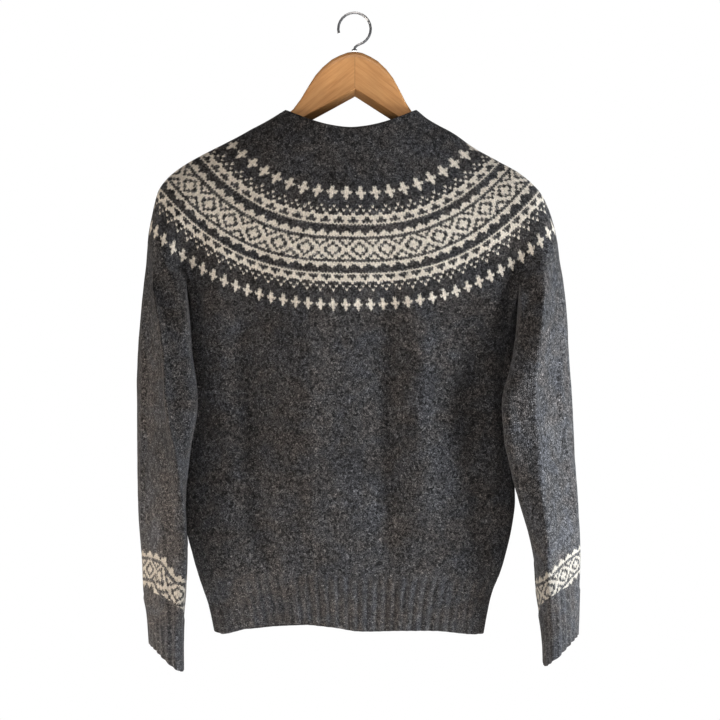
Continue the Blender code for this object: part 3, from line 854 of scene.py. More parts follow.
# The front's stitches go on from the yoke; under the arms and behind they are counted by length
top = grids["body"][0]
top_steps = np.linalg.norm(np.roll(top, -1, axis=0) - top, axis=1)
across = np.zeros(len(top) + 1)
first = UNDER // 2 - 1
across[first:UNDER // 2 + WIDE] = yoke_seam[ARM:ARM + WIDE + 1]
for i in range(first - 1, -1, -1):
    across[i] = across[i + 1] - top_steps[i] / STITCH
for i in range(first + WIDE + 1, len(across)):
    across[i] = across[i - 1] + top_steps[i - 1] / STITCH
maps["body"] = even_map(across, -YOKE_ROWS[-1] - drops(grids["body"]) / ROW_HEIGHT)
for name, ribs in (("hem", HEM_RIBS), ("cuff_left", CUFF_RIBS), ("cuff_right", CUFF_RIBS)):
    across = np.linspace(0, 4 * ribs, grids[name].shape[1] + 1)
    maps[name] = even_map(across, -drops(grids[name]) / RIB_ROW)
    print(name, "has", 4 * ribs, "stitches round")

# %% [markdown]
# ## The cuff bands
#
# The sleeve is turned as it hangs, so its patterned band shows aslant, and on the left one it bends
# down steeply near the inner edge. Painting the band level would miss that. So the line of its upper
# tips is measured across the sleeve's front, smoothed, and each point below it counts its rows square
# to that line and its stitches along it. Behind, the line runs straight from edge to edge.

# %% Upper line of a cuff band
# Height of the cuff band's upper tips across a sleeve's front, from its outer to its inner edge
CUFF_LINE = {
    "left": ((0.0, -679), (0.21, -680), (0.33, -682), (0.55, -686), (0.61, -691), (0.72, -702),
             (0.78, -709), (1.0, -711)),
    "right": ((0.0, -673), (0.4, -687), (0.62, -698), (0.8, -707), (1.0, -714)),
}
FRONT_SOFT = 4


def cuff_line(side, inward, points):
    """Height of the upper tips round the sleeve: measured in front, straight behind."""
    y = points[:, :, 1]
    in_front = closed(1 / (1 + np.exp((y - y.mean(axis=1)[:, None]) / FRONT_SOFT))).mean(axis=0)
    middle = inward.mean(axis=0)
    front = between(middle, CUFF_LINE[side])
    high, low = CUFF_LINE[side][0][1], CUFF_LINE[side][-1][1]
    back = high + (low - high) * middle
    return back + (front - back) * in_front


for side, stops in CUFF_LINE.items():
    print(side, "band falls", stops[0][1] - stops[-1][1], "mm inwards")

# %% Rows and stitches below the line
CUFF_STITCHES = 64
# Row height of the cuff bands at a sleeve's outer and inner edge
CUFF_BAND_ROW = {"left": (3.0, 3.0), "right": (2.35, 3.0)}
LINE_POINTS = 3001
LINE_SOFT = 30


def cuff_band(side, points, share, length):
    """Stitches along the cuff band, and rows below its tips, square to the band's own run."""
    inward = closed(inward_share(points, side))
    z = closed(points[:, :, 2])
    line = cuff_line(side, inward, points)
    run = share[0] * length.mean()
    around = np.concatenate([run[:-1] - run[-1], run[:-1], run + run[-1]])
    fine = np.linspace(around[0], around[-1], LINE_POINTS)
    height = np.interp(fine, around, np.concatenate([line[:-1], line[:-1], line]))
    soft = 2 * LINE_SOFT + 1
    height = np.convolve(np.pad(height, LINE_SOFT, mode="edge"), np.ones(soft) / soft, mode="valid")
    along = np.concatenate([[0], np.cumsum(np.hypot(np.diff(fine), np.diff(height)))])
    start, end = np.interp([0, run[-1]], fine, along)
    above = np.interp(share * length.mean(), fine, along)
    apart = np.hypot(fine - (share * length.mean())[:, :, None], height - z[:, :, None])
    nearest = apart.argmin(axis=2)
    depth = np.sign(z - height[nearest]) * apart.min(axis=2)
    low, high = CUFF_BAND_ROW[side]
    spot = (along[nearest] + above) / 2
    return (spot - start) / (end - start) * CUFF_STITCHES, depth / (low + (high - low) * inward)


print("stitches round a cuff band:", CUFF_STITCHES)

# %% Count stitches down both sleeves
CUFF_BAND_START = 0.70
band_from = next(i for i, level in enumerate(SLEEVE_LEVELS) if level >= CUFF_BAND_START)
for side, way, ridge in (("left", 1, yoke_seam[0]), ("right", -1, yoke_seam[HALF])):
    points = grids["sleeve_" + side]
    share, around = fractions(points)
    counts = np.interp(SLEEVE_LEVELS, [0, CUFF_BAND_START], [around[0] / STITCH, CUFF_STITCHES])
    across = share * counts[:, None] * way + ridge
    down = -YOKE_ROWS[-1] - drops(points) / ROW_HEIGHT
    stitches, rows = cuff_band(side, points[band_from:], share[band_from:], around[band_from:])
    edges = []
    for part in (slice(None, -1), slice(1, None)):
        edge_across, edge_down = across[part].copy(), down[part].copy()
        edge_across[band_from:] = stitches[part] * way
        edge_down[band_from:] = rows[part]
        edges.append((edge_across, edge_down))
    upper, lower = edges
    maps["sleeve_" + side] = dict(s=(upper[0], lower[0]), v=(upper[1], lower[1]), turns=counts * way)
    print(f"{side} sleeve: {around[0] / STITCH:.0f} stitches at the top, {CUFF_STITCHES} at the band")

# %% [markdown]
# ## Walls of cloth
#
# Each knitted piece is a thin closed wall, open at both ends like the real tube. A Solidify modifier
# would thicken a plain sheet, but then the map on the inside and the shared normals could not be set. So
# the wall is built as rings right round its section: outside, lower edge, inside and upper edge. Edges
# that meet a neighbour are flat, and those at neck, hem and cuffs are rolled over.

# %% Rings of a wall
CLOTH_WALL = 2.3
ROLLED_EDGE = (30, 60, 90, 120, 150)
FLAT_EDGE = (90,)
EDGE_ROWS = 0.25


def rim(points, normal, row, near, rolled):
    """Rings over an edge, from the outer face to the inner one."""
    along = points[row] - points[near]
    along /= np.linalg.norm(along, axis=1, keepdims=True)
    middle = points[row] - normal[row] * CLOTH_WALL / 2
    lift = 1.0 if rolled else 0.0
    found = []
    for degrees in ROLLED_EDGE if rolled else FLAT_EDGE:
        angle = math.radians(degrees)
        way = normal[row] * math.cos(angle) + along * math.sin(angle)
        reach = normal[row] * math.cos(angle) + along * math.sin(angle) * lift
        found.append((middle + reach * CLOTH_WALL / 2, way, row, EDGE_ROWS * math.sin(angle) * lift))
    return found


def wall_rings(points, normal, rolled_top, rolled_end):
    """Place, normal, row and extra rows of each ring round the wall's section."""
    last = len(points) - 1
    rows = range(last + 1)
    rings = [(points[i], normal[i], i, 0.0) for i in rows]
    rings += rim(points, normal, last, last - 1, rolled_end)
    rings += [(points[i] - normal[i] * CLOTH_WALL, -normal[i], i, 0.0) for i in reversed(rows)]
    rings += reversed(rim(points, normal, 0, 1, rolled_top))
    return rings


def edge_map(counted, strip, row, extra):
    """Map corners of a strip's faces along one of its edges: left ends, then right ends."""
    last = len(counted["s"][0])
    end = 0 if row == strip else 1
    across = counted["s"][end][strip]
    down = counted["v"][end][strip] + (-extra if row == last else extra)
    left, right = across[:-1].copy(), across[1:].copy()
    if "turns" in counted:
        behind = len(left) // 2
        left[behind:] -= counted["turns"][row]
        right[behind:] -= counted["turns"][row]
    return np.stack([left, down[:-1]], 1), np.stack([right, down[1:]], 1)


print("wall of cloth:", CLOTH_WALL, "mm")

# %% Build a piece of cloth
MM = 0.001
pieces = {}


def cloth(name, materials, strip_slots=None, rolled_top=False, rolled_end=False):
    """Builds one knitted wall from its grid, with stitch map and shared normals."""
    rings = wall_rings(grids[name], ways[name], rolled_top, rolled_end)
    high, columns = grids[name].shape[:2]
    here = np.arange(columns)
    after = (here + 1) % columns
    faces, uvs, slots = [], [], []
    for k, (_, _, row, extra) in enumerate(rings):
        m = (k + 1) % len(rings)
        next_row, next_extra = rings[m][2:]
        strip = min(row, next_row, high - 2)
        left, right = edge_map(maps[name], strip, row, extra)
        next_left, next_right = edge_map(maps[name], strip, next_row, next_extra)
        corners = (k * columns + here, m * columns + here, m * columns + after, k * columns + after)
        quad = np.stack(corners, axis=1)
        uv = np.stack((left, next_left, next_right, right), axis=1)
        if name in FLIPS:
            quad, uv = quad[:, ::-1], uv[:, ::-1]
        faces.append(quad)
        uvs.append(uv)
        slots.append(np.full(columns, strip_slots[strip] if strip_slots else 0))
    mesh = bpy.data.meshes.new(name + "_knit")
    vertices = np.concatenate([ring[0] for ring in rings]) * MM
    mesh.from_pydata(vertices.tolist(), [], np.concatenate(faces).tolist())
    layer = mesh.uv_layers.new(name="stitches")
    layer.data.foreach_set("uv", np.concatenate(uvs).astype(np.float32).ravel())
    for material in materials:
        mesh.materials.append(material)
    mesh.polygons.foreach_set("material_index", np.concatenate(slots).astype(np.int32))
    mesh.polygons.foreach_set("use_smooth", np.ones(len(mesh.polygons), dtype=bool))
    mesh.normals_split_custom_set_from_vertices(np.concatenate([ring[1] for ring in rings]).tolist())
    mesh.update()
    piece = bpy.data.objects.new(name + "_knit", mesh)
    bpy.context.scene.collection.objects.link(piece)
    pieces[name] = piece
    print(f"{piece.name}: {len(mesh.polygons)} faces")


# %% [markdown]
# ## Short words for material nodes
#
# A material is a graph of small nodes. It can be wired by hand in the Shader Editor, node by node. For
# a pattern with many sums it is clearer to write the sums down, so this small class turns each of them
# into one node, and a number that stays the same goes straight onto the node's own socket.

# %% Write nodes as sums
class Graph:
    """Short way to write the nodes of one material."""

    def __init__(self, name):
        self.material = bpy.data.materials.new(name)
        self.material.use_nodes = True
        self.tree = self.material.node_tree
        self.tree.nodes.clear()

    def node(self, kind, inputs=None, **settings):
        """Adds a node; an input is given by name or number, and is a value or another node's output."""
        node = self.tree.nodes.new("ShaderNode" + kind)
        for key, value in settings.items():
            setattr(node, key, value)
        for key, value in (inputs or {}).items():
            self.put(node.inputs[key], value)
        return node

    def put(self, socket, value):
        if isinstance(value, bpy.types.NodeSocket):
            self.tree.links.new(value, socket)
        else:
            socket.default_value = value

    def math(self, operation, *values):
        node = self.node("Math", operation=operation)
        for socket, value in zip(node.inputs, values):
            self.put(socket, value)
        return node.outputs[0]

    def mix(self, factor, a, b, blend="MIX"):
        """Mixes two colours, which are inputs 6 and 7 of the node."""
        node = self.node("Mix", {0: factor, 6: a, 7: b}, data_type="RGBA", blend_type=blend)
        return node.outputs[2]

    def shaded(self, colour, tone):
        """A colour made darker or lighter by a number."""
        grey = self.node("CombineColor", {0: tone, 1: tone, 2: tone}).outputs[0]
        return self.mix(1.0, colour, grey, "MULTIPLY")

    def hump(self, value, power):
        """1 in the middle of 0 to 1, and 0 at both ends."""
        centred = self.math("SUBTRACT", self.math("MULTIPLY", value, 2.0), 1.0)
        away = self.math("POWER", self.math("ABSOLUTE", centred), power)
        return self.math("MAXIMUM", self.math("SUBTRACT", 1.0, away), 0.0)

    def noise(self, vector, scale, detail=2.0, rough=0.5, distortion=0.0):
        """Soft noise, mostly between 0.3 and 0.7."""
        node = self.node("TexNoise", {"Vector": vector, "Scale": scale, "Detail": detail,
                                      "Roughness": rough, "Distortion": distortion})
        return node.outputs["Fac"]

    def spread(self, value, low, high, to_low=0.0, to_high=1.0):
        """Stretches low to high over another range, and holds both ends."""
        node = self.node("MapRange", {0: value, 1: low, 2: high, 3: to_low, 4: to_high})
        return node.outputs[0]

    def ramp(self, value, stops, interpolation="LINEAR"):
        """Colours or grey levels at places from 0 to 1."""
        node = self.node("ValToRGB", {0: value})
        node.color_ramp.interpolation = interpolation
        elements = node.color_ramp.elements
        while len(elements) < len(stops):
            elements.new(1.0)
        for element, (place, colour) in zip(elements, stops):
            if not hasattr(colour, "__len__"):
                colour = (colour,) * 3
            element.position = place
            element.color = (*colour, 1)
        return node.outputs[0]

    def finish(self, surface):
        output = self.node("OutputMaterial")
        self.tree.links.new(surface.outputs[0], output.inputs["Surface"])
        return self.material


print("short words:", ", ".join(word for word in vars(Graph) if word[0] != "_"))

# %% [markdown]
# ## The colour chart
#
# Stranded knitting follows a chart: W is a cream stitch and a dot a charcoal one. This one has crosses,
# a seeding, and a band of lattice and diamonds between two borders, all common fair isle motifs. An
# image could hold it, but an image is blurred when it is seen from near. Here every row is a number
# whose binary digits are its eight stitches, kept in a colour ramp with hard steps, and arithmetic in
# the material looks up one digit. Four lookups close together soften the edge of a stitch.

# %% Charts of yoke and cuffs
CROSS = ["W...", "W...", "WW.W", "W...", "W..."]
ROOT = ["WWWW", "W...", "WW.W", "WWWW", "..W.", ".W.W", "W..."]
PEAK = ["W...", "WW.W", "WWWW"]
LATTICE = ["WW.WWW.W", ".WW.W.WW", "W.WW.WW.", "WW.WWW.W",
           "WW.WWW.W", "W.WW.WW.", ".WW.W.WW", "WW.WWW.W"]
PLAIN = ["...."]
CUFF_CHART = PEAK + PLAIN + LATTICE + PLAIN + PEAK[::-1]
YOKE_CHART = (CROSS + PLAIN * 2 + ROOT[::-1] + PLAIN * 2 + CUFF_CHART + PLAIN * 2 + ROOT
              + PLAIN * 2 + CROSS)
print("\n".join(row * (8 // len(row)) for row in CUFF_CHART))

# %% Look a stitch up in the chart
RAMP_ROWS = 24
EDGE_ACROSS = 0.13
EDGE_DOWN = 0.26
LOWEST_DIGIT = 1 / 1024


def row_number(row):
    """A chart row as a binary fraction, its first stitch the highest digit."""
    full = row * (8 // len(row))
    return sum(2.0 ** -(i + 1) for i, stitch in enumerate(full) if stitch == "W")


def chart_share(g, chart, s, level):
    """Share of four nearby places whose stitch is cream."""
    places = []
    for shift in (-EDGE_ACROSS, EDGE_ACROSS):
        column = g.math("FLOORED_MODULO", g.math("FLOOR", g.math("ADD", s, shift)), 8.0)
        places.append(g.math("POWER", 2.0, g.math("ADD", column, 1.0)))
    share = 0.0
    for shift in (-EDGE_DOWN, EDGE_DOWN):
        index = g.math("FLOOR", g.math("SUBTRACT", shift, level))
        mask = LOWEST_DIGIT
        for start in range(0, len(chart), RAMP_ROWS):
            numbers = [0.0] + [row_number(row) for row in chart[start:start + RAMP_ROWS]] + [0.0]
            spot = g.math("DIVIDE", g.math("ADD", index, 1.5 - start), float(len(numbers)))
            stops = [(i / len(numbers), number) for i, number in enumerate(numbers)]
            mask = g.math("ADD", g.ramp(spot, stops, "CONSTANT"), mask)
        for place in places:
            digit = g.math("FLOORED_MODULO", g.math("FLOOR", g.math("MULTIPLY", mask, place)), 2.0)
            share = g.math("ADD", g.math("MULTIPLY", digit, 0.25), share)
    return share


print("first row of the lattice as a number:", row_number(LATTICE[0]))

# %% [markdown]
# ## Knitted wool
#
# One stitch of plain knitting is a V of two slanting legs. A normal map or small mesh loops could show
# it, but loops for tens of thousands of stitches are too heavy, and a hump over the map draws the V:
# as bump, and as painted shade in its dips and painted highlight on its legs.
# The wool is a tweed: dark fibres with paler flecks, warmer and cooler from place to place, and the
# cream yarn is fuzzy at its edges. Noise in object space gives that, at the size of real fibres.

# %% The V of a stitch
V_RISE = 0.6
SWAY = ((95.0, 0.6), (620.0, 0.45))


def swayed_stitches(g, place):
    """Stitch and row numbers from the map, moved a little as no hand knits evenly."""
    stitches = g.node("UVMap", uv_map="stitches").outputs["UV"]
    for scale, amount in SWAY:
        sway = g.node("TexNoise", {"Vector": place, "Scale": scale, "Detail": 2.0}).outputs["Color"]
        sway = g.node("VectorMath", {0: sway, 1: (0.5, 0.5, 0.5)}, operation="SUBTRACT").outputs[0]
        sway = g.node("VectorMath", {0: sway, "Scale": amount}, operation="SCALE").outputs[0]
        stitches = g.node("VectorMath", {0: stitches, 1: sway}, operation="ADD").outputs[0]
    split = g.node("SeparateXYZ", {0: stitches})
    return split.outputs[0], split.outputs[1]


def stitch_form(g, s, v):
    """Row level along the slanting legs and height of the yarn; side is 0 mid stitch, 1 at its edges."""
    side = g.math("ABSOLUTE", g.math("SUBTRACT", g.math("MULTIPLY", g.math("FRACT", s), 2.0), 1.0))
    level = g.math("SUBTRACT", v, g.math("MULTIPLY", g.math("SUBTRACT", side, 0.5), V_RISE))
    leg = g.math("SQRT", g.hump(side, 2.0))
    bead = g.hump(g.math("FRACT", level), 3.0)
    return level, g.math("MULTIPLY", leg, g.math("ADD", 0.55, g.math("MULTIPLY", bead, 0.45)))


print("legs of a stitch rise", V_RISE, "of a row")

# %% Charcoal and cream yarn
CHARCOAL = ((0.0, (0.009, 0.0085, 0.009)), (0.38, (0.022, 0.0215, 0.022)), (0.62, (0.048, 0.046, 0.046)),
            (0.82, (0.094, 0.090, 0.088)), (1.0, (0.15, 0.143, 0.14)))
CREAM = ((0.0, (0.42, 0.36, 0.29)), (0.35, (0.65, 0.58, 0.485)), (0.65, (0.78, 0.715, 0.61)),
         (1.0, (0.86, 0.80, 0.71)))
COOL_TO_WARM = ((0.36, (0.95, 0.985, 1.06)), (0.5, (1.0, 1.0, 1.0)), (0.64, (1.06, 0.995, 0.95)))
SWELLS = (
    # from this chart row on: how far the cream yarn swells over its stitches
    (-9, 0.02), (6, -0.20), (10, -0.10), (38, -0.20), (42, 0.02),
)
SWELL_FIRST = -10
SWELL_LAST = 60


def charcoal_yarn(g, place, fleck, grain, wool, mottle):
    """Tweed of dark fibres and paler flecks, patchy as brushed wool is."""
    cloud = g.noise(place, 17.0, 3.0, 0.55, 0.3)
    warm = g.noise(place, 31.0, 2.0, 0.5, 0.5)
    yarn = g.ramp(g.spread(fleck, 0.34, 0.68), CHARCOAL)
    yarn = g.mix(1.0, yarn, g.ramp(warm, COOL_TO_WARM), "MULTIPLY")
    # wool scales the yarn's whole tone: values over 1 paint light into a lighter copy of the same charcoal
    # yarn
    patches_and_painted_light = g.math("MULTIPLY", g.spread(cloud, 0.3, 0.7, 0.82 * wool, 1.16 * wool),
                     g.spread(grain, 0.32, 0.68, 1.04 - mottle, 1.04 + mottle))
    return g.shaded(yarn, patches_and_painted_light)


def cream_yarn(g, fleck, grain, height, cream):
    """Cream wool with painted shade where its stitches dip, and patchy in tone."""
    yarn = g.ramp(g.spread(fleck, 0.30, 0.66), CREAM)
    # relief is painted shade in the stitch dips, times the yarn's own patchy tone and the cream factor
    relief = g.math("MULTIPLY", g.spread(height, 0.0, 0.6, 0.62, 1.0),
                    g.spread(grain, 0.32, 0.68, 0.84 * cream, 1.12 * cream))
    return g.shaded(yarn, relief)


def frayed(g, share, level, fleck, swells):
    """Cream above zero, charcoal below, with fibres over the edge of each stitch.

    A place is cream where its share is over 0.6, or over 0.5 less the swell where there are swells.
    """
    unsure = g.math("MULTIPLY", share, g.math("SUBTRACT", 1.0, share))
    fuzz = g.math("MULTIPLY", unsure, g.math("MULTIPLY", g.math("SUBTRACT", fleck, 0.5), 4.8))
    share = g.math("ADD", share, g.math("SUBTRACT", fuzz, 0.6))
    if swells:
        row = g.spread(g.math("MULTIPLY", level, -1.0), float(SWELL_FIRST), float(SWELL_LAST))
        span = SWELL_LAST - SWELL_FIRST
        stops = [((start - SWELL_FIRST) / span, out + 0.5) for start, out in swells]
        share = g.math("ADD", share, g.math("SUBTRACT", g.ramp(row, stops, "CONSTANT"), 0.4))
    return share


print("charcoal fibres from", CHARCOAL[0][1][0], "to", CHARCOAL[-1][1][0])

# %% The knitted materials
# wool and cream scale the tone of the charcoal and cream yarns; values above those of body and yoke paint
# light, values below paint shade
def knit(name, chart=None, swells=None, depth=0.0011, wool=1.0, cream=1.0, mottle=0.84):
    """A knitted wool, plain or with a chart."""
    g = Graph(name)
    place = g.node("TexCoord").outputs["Object"]
    s, v = swayed_stitches(g, place)
    level, height = stitch_form(g, s, v)
    fibre = g.noise(place, 1500.0, 3.0, 0.65, 0.6)
    curl = g.noise(place, 430.0, 2.0, 0.55, 1.8)
    grain = g.noise(place, 262.0, 1.0, 0.5, 1.2)
    fleck = g.math("ADD", g.math("MULTIPLY", curl, 0.8), g.math("MULTIPLY", fibre, 0.2))
    colour = charcoal_yarn(g, place, fleck, grain, wool, mottle)
    if chart:
        share = frayed(g, chart_share(g, chart, s, level), level, fleck, swells)
        pale = cream_yarn(g, fleck, grain, height, cream)
        colour = g.mix(g.spread(share, -0.12, 0.12), colour, pale)
    # Painted shade and painted highlight: each stitch is darker in its dips and lighter on its raised legs.
    colour = g.shaded(colour, g.spread(height, 0.0, 0.7, 0.72, 1.06))
    total = g.math("ADD", g.math("MULTIPLY", height, 0.62), g.math("MULTIPLY", fleck, 0.75))
    bump = g.node("Bump", {"Height": total, "Distance": depth, "Strength": 0.8})
    surface = g.node("BsdfPrincipled", {"Base Color": colour, "Roughness": 0.95, "Normal": bump.outputs[0],
                                        "Specular IOR Level": 0.15, "Sheen Weight": 0.08,
                                        "Sheen Roughness": 0.5, "Sheen Tint": (0.8, 0.8, 0.82, 1)})
    print(name, "uses", len(g.tree.nodes), "nodes")
    return g.finish(surface)


charcoal = knit("charcoal_wool")
yoke_wool = knit("stranded_yoke", YOKE_CHART, SWELLS, cream=0.95)
# The cuff bands use the yoke's cream and the body's charcoal yarn: cream=0.44 is painted shade and wool=1.1
# painted light.
cuff_wool = knit("stranded_cuff", CUFF_CHART, wool=1.1, cream=0.44, mottle=0.7)
# The ribs use the body's charcoal yarn made lighter by wool=1.15: painted light.
ribbing = knit("charcoal_rib", depth=0.0012, wool=1.15, mottle=0.5)

# %% [markdown]
# ## Put the pieces together
#
# Now every piece gets its wall and its wool. A sleeve has two materials, plain wool above and the
# chart from its band down, chosen strip by strip, because the chart's rows start again at the band.
# Then the CAD parts that each piece stands for are hidden, and the piece is attached to the root body.

# %% Knit the pieces
cloth("neckband", [charcoal], rolled_top=True)
cloth("yoke", [yoke_wool])
cloth("body", [charcoal])
band_strips = [1 if level >= CUFF_BAND_START else 0 for level in SLEEVE_LEVELS[:-1]]
for side in ("left", "right"):
    cloth("sleeve_" + side, [charcoal, cuff_wool], band_strips)
    cloth("cuff_" + side, [ribbing], rolled_end=True)
cloth("hem", [ribbing], rolled_end=True)

# %% Hide the CAD parts each piece stands for, and attach it
REPLACED = {"body": ["body_front", "body_back"], "hem": ["hem_rib"]}
SLOTS = {"yoke": "patterned_knit", "hem": "charcoal_rib", "cuff_left": "charcoal_rib",
         "cuff_right": "charcoal_rib"}
for name, piece in pieces.items():
    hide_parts(*REPLACED.get(name, [name]))
    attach(piece, "root")
    SLOTS.get(name, "charcoal_knit")

# %% [markdown]
# ## Wooden hanger and its hook
#
# The hanger is two contoured arms of light wood, joined at the middle under a satin lacquer, and a hook
# of bright wire. Their CAD solids have the right shape, so they stay and only get better materials. An
# image of wood would have to be wrapped round the arms. Noise that is stretched along each arm gives the
# grain all through the wood, so it runs right over the edges, and a thin darker line marks the joint.
# The wire is bare metal whose roughness varies a little, so its highlights break up as on drawn wire.

# %% Light wood
WOOD_JOINT = 0.0005
ARM_SLOPE = (0.80, 0.60)
GRAIN_STRETCH = 0.07
BESIDE = 0.3
LIGHT_WOOD = ((0.0, (0.54, 0.240, 0.078)), (0.35, (0.64, 0.305, 0.106)), (0.7, (0.70, 0.352, 0.130)),
              (1.0, (0.75, 0.395, 0.155)))


def wood_material():
    """Light wood with its grain along both arms, under a satin lacquer."""
    g = Graph("light_wood")
    place = g.node("TexCoord").outputs["Object"]
    x, y, z = g.node("SeparateXYZ", {0: place}).outputs
    arm_side = g.math("ABSOLUTE", g.math("SUBTRACT", x, WOOD_JOINT))
    out, down = ARM_SLOPE
    along = g.math("SUBTRACT", g.math("MULTIPLY", arm_side, out), g.math("MULTIPLY", z, down))
    cross = g.math("ADD", g.math("MULTIPLY", arm_side, down), g.math("MULTIPLY", z, out))
    arm = g.math("ADD", y, g.math("MULTIPLY", g.math("SIGN", x), BESIDE))
    board = g.node("CombineXYZ", {0: g.math("MULTIPLY", along, GRAIN_STRETCH), 1: cross, 2: arm}).outputs[0]
    rings = g.noise(board, 260.0, 3.0, 0.55, 0.8)
    fine = g.noise(board, 1500.0, 2.0, 0.6)
    figure = g.math("ADD", g.math("MULTIPLY", rings, 0.7), g.math("MULTIPLY", fine, 0.3))
    tone = g.spread(g.noise(place, 24.0, 2.0), 0.3, 0.7, 0.92, 1.10)
    joint = g.spread(arm_side, 0.0002, 0.0008, 0.78, 1.0)
    colour = g.shaded(g.ramp(g.spread(figure, 0.32, 0.68), LIGHT_WOOD), g.math("MULTIPLY", tone, joint))
    bump = g.node("Bump", {"Height": figure, "Distance": 0.0002, "Strength": 0.35})
    surface = g.node("BsdfPrincipled", {"Base Color": colour, "Normal": bump.outputs[0],
                                        "Roughness": g.spread(fine, 0.3, 0.7, 0.36, 0.5),
                                        "Coat Weight": 0.2, "Coat Roughness": 0.3})
    return g.finish(surface)


print("grain is stretched", round(1 / GRAIN_STRETCH), "times along an arm")

# %% Bright wire
def wire_material():
    """Bare bright metal, a little uneven as drawn wire is."""
    g = Graph("bright_wire")
    place = g.node("TexCoord").outputs["Object"]
    drawn = g.noise(place, 900.0, 3.0, 0.6)
    colour = g.ramp(g.noise(place, 60.0, 2.0), ((0.3, (0.50, 0.50, 0.51)), (0.7, (0.66, 0.66, 0.67))))
    surface = g.node("BsdfPrincipled", {"Base Color": colour, "Metallic": 1.0,
                                        "Roughness": g.spread(drawn, 0.3, 0.7, 0.2, 0.38)})
    return g.finish(surface)


for node, material in (("hanger", wood_material()), ("hanger_hook", wire_material())):
    thing = frame["nodes"][node]
    thing.data.materials.clear()
    thing.data.materials.append(material)
    print(node, "has", material.name)

# %% [markdown]
# ## Floor
#
# The photograph has plain white all round, and a garment on a hanger hangs clear of the ground. A
# plane far below it, in a pale and slightly uneven finish, gives the other views something to stand
# over without showing here. It is a primitive, added at its size and place, which then goes into the mesh.

# %% Pale floor
FLOOR_SIZE = 3.2
FLOOR_DROP = 1.5


def floor_material():
    """Pale, slightly mottled finish."""
    g = Graph("pale_floor")
    mottle = g.noise(g.node("TexCoord").outputs["Object"], 9.0, 4.0, 0.55)
    colour = g.ramp(mottle, ((0.3, (0.74, 0.735, 0.725)), (0.7, (0.80, 0.797, 0.79))))
    return g.finish(g.node("BsdfPrincipled", {"Base Color": colour, "Roughness": 0.8}))


bpy.ops.object.select_all(action="DESELECT")
bpy.ops.mesh.primitive_plane_add(size=FLOOR_SIZE, location=(0, 0, -FLOOR_DROP))
bpy.ops.object.transform_apply(location=True, rotation=False, scale=False)
floor = bpy.context.object
floor.name = "floor"
floor.data.name = "floor"
floor.data.materials.append(floor_material())
print("floor", FLOOR_SIZE, "m wide,", FLOOR_DROP, "m below the rail")

# %% [markdown]
# ## Studio light
#
# Light could come from one picture of a studio, but plain area lamps can be moved one at a time. The
# big ones stand at both sides, cool on the right and warmer on the left, as on the real garment, so that
# creases and folds stand out. Narrow strips brighten the sleeves' outer sides, one lamp overhead lifts
# the shoulders and one low in front the hem, and one behind keeps the back readable. The world is
# white where it is seen and dim where it lights.

# %% World
scene = bpy.context.scene
scene.view_settings.view_transform = "Standard"
world = bpy.data.worlds.new("studio")
world.use_nodes = True
tree = world.node_tree
tree.nodes.clear()
seen = tree.nodes.new("ShaderNodeBackground")
seen.inputs[0].default_value = (1, 1, 1, 1)
fill = tree.nodes.new("ShaderNodeBackground")
fill.inputs[0].default_value = (0.96, 0.98, 1.0, 1)
fill.inputs[1].default_value = 0.1
ray = tree.nodes.new("ShaderNodeLightPath")
blend = tree.nodes.new("ShaderNodeMixShader")
output = tree.nodes.new("ShaderNodeOutputWorld")
tree.links.new(ray.outputs["Is Camera Ray"], blend.inputs[0])
tree.links.new(fill.outputs[0], blend.inputs[1])
tree.links.new(seen.outputs[0], blend.inputs[2])
tree.links.new(blend.outputs[0], output.inputs[0])
scene.world = world
print("world fills with", fill.inputs[1].default_value)

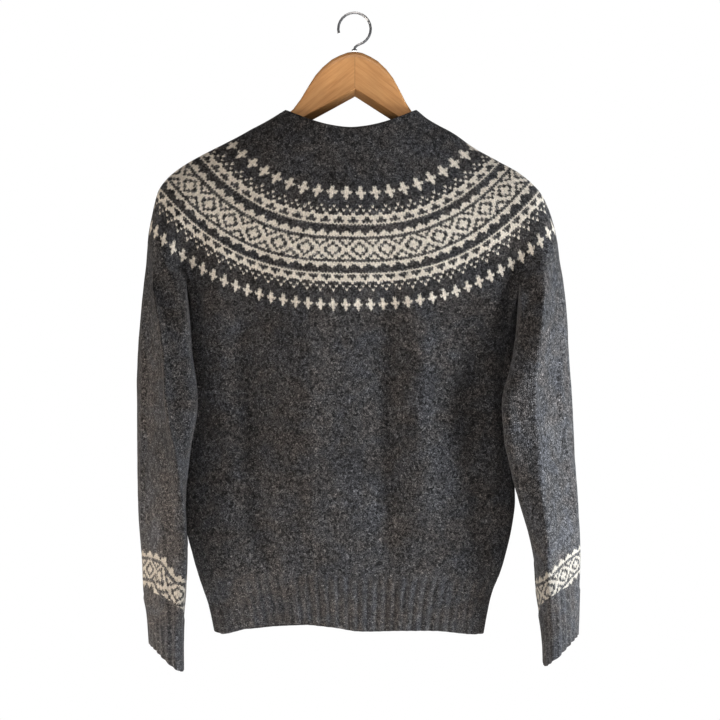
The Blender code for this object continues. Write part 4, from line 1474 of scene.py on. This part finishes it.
# %% Lamps
LAMPS = (
    # name, place, aim, size across and down, watts, spread, colour
    ("right_window", (1.5, -0.4, -0.8), (0.26, 0, -0.55), (0.53, 0.53), 15, 180, (0.96, 0.975, 1.0)),
    ("left_window", (-1.5, -0.25, -0.95), (-0.25, 0, -0.6), (0.53, 0.53), 7, 180, (1.0, 0.90, 0.80)),
    ("left_front", (-1.3, -1.3, -0.95), (-0.2, 0, -0.5), (0.53, 0.53), 7, 180, (1.0, 0.92, 0.84)),
    ("front", (0.1, -3.0, -0.9), (0, 0, -0.5), (1.1, 1.1), 1.5, 180, (1.0, 1.0, 1.0)),
    ("overhead", (0, -1.4, 0.9), (0, 0, -0.3), (0.9, 0.9), 10, 180, (1.0, 0.93, 0.89)),
    ("low_front", (-0.12, -0.58, -1.36), (-0.07, 0, -0.84), (0.5, 0.25), 1.35, 80, (1.0, 1.0, 1.0)),
    ("right_strip", (0.66, -0.16, -0.58), (0.26, 0, -0.58), (0.16, 0.5), 7.2, 180, (0.86, 0.93, 1.0)),
    ("left_strip", (-0.66, -0.22, -0.78), (-0.25, 0, -0.80), (0.16, 0.24), 2.6, 180, (1.0, 0.90, 0.80)),
    ("behind", (0, 2.4, -0.4), (0, 0, -0.5), (1.2, 1.2), 45, 180, (1.0, 1.0, 1.0)),
)
for name, place, aim, size, watts, spread, colour in LAMPS:
    lamp = bpy.data.lights.new(name, "AREA")
    lamp.shape = "RECTANGLE"
    lamp.size, lamp.size_y = size
    lamp.energy = watts
    lamp.spread = math.radians(spread)
    lamp.color = colour
    stand = bpy.data.objects.new(name, lamp)
    stand.location = place
    stand.rotation_euler = (Vector(aim) - Vector(place)).to_track_quat("-Z", "Y").to_euler()
    scene.collection.objects.link(stand)
    print(f"{name}: {watts} W")

# %% [markdown]
# ## Camera
#
# The garment was photographed straight from the front, level with its middle. A wide lens from near
# would make the middle bulge, so a long lens stands far off, as it does for a catalogue.

# %% Long lens, level and straight in front
camera = bpy.data.objects.new("camera", bpy.data.cameras.new("camera"))
camera.data.lens = 200
camera.data.clip_end = 50
camera.location = (0.007, -5.08, -0.4394)
camera.rotation_euler = (math.radians(90), 0, 0)
scene.collection.objects.link(camera)
scene.camera = camera
print("camera", -camera.location.y, "m in front, lens", camera.data.lens, "mm")

# %% [markdown]
# ## Finish
#
# Last, the view layer is updated, so that every object's place is current. A visual model may stand
# a little proud of the CAD model, but it has to be the same garment.

# %% Finish
bpy.context.view_layer.update()
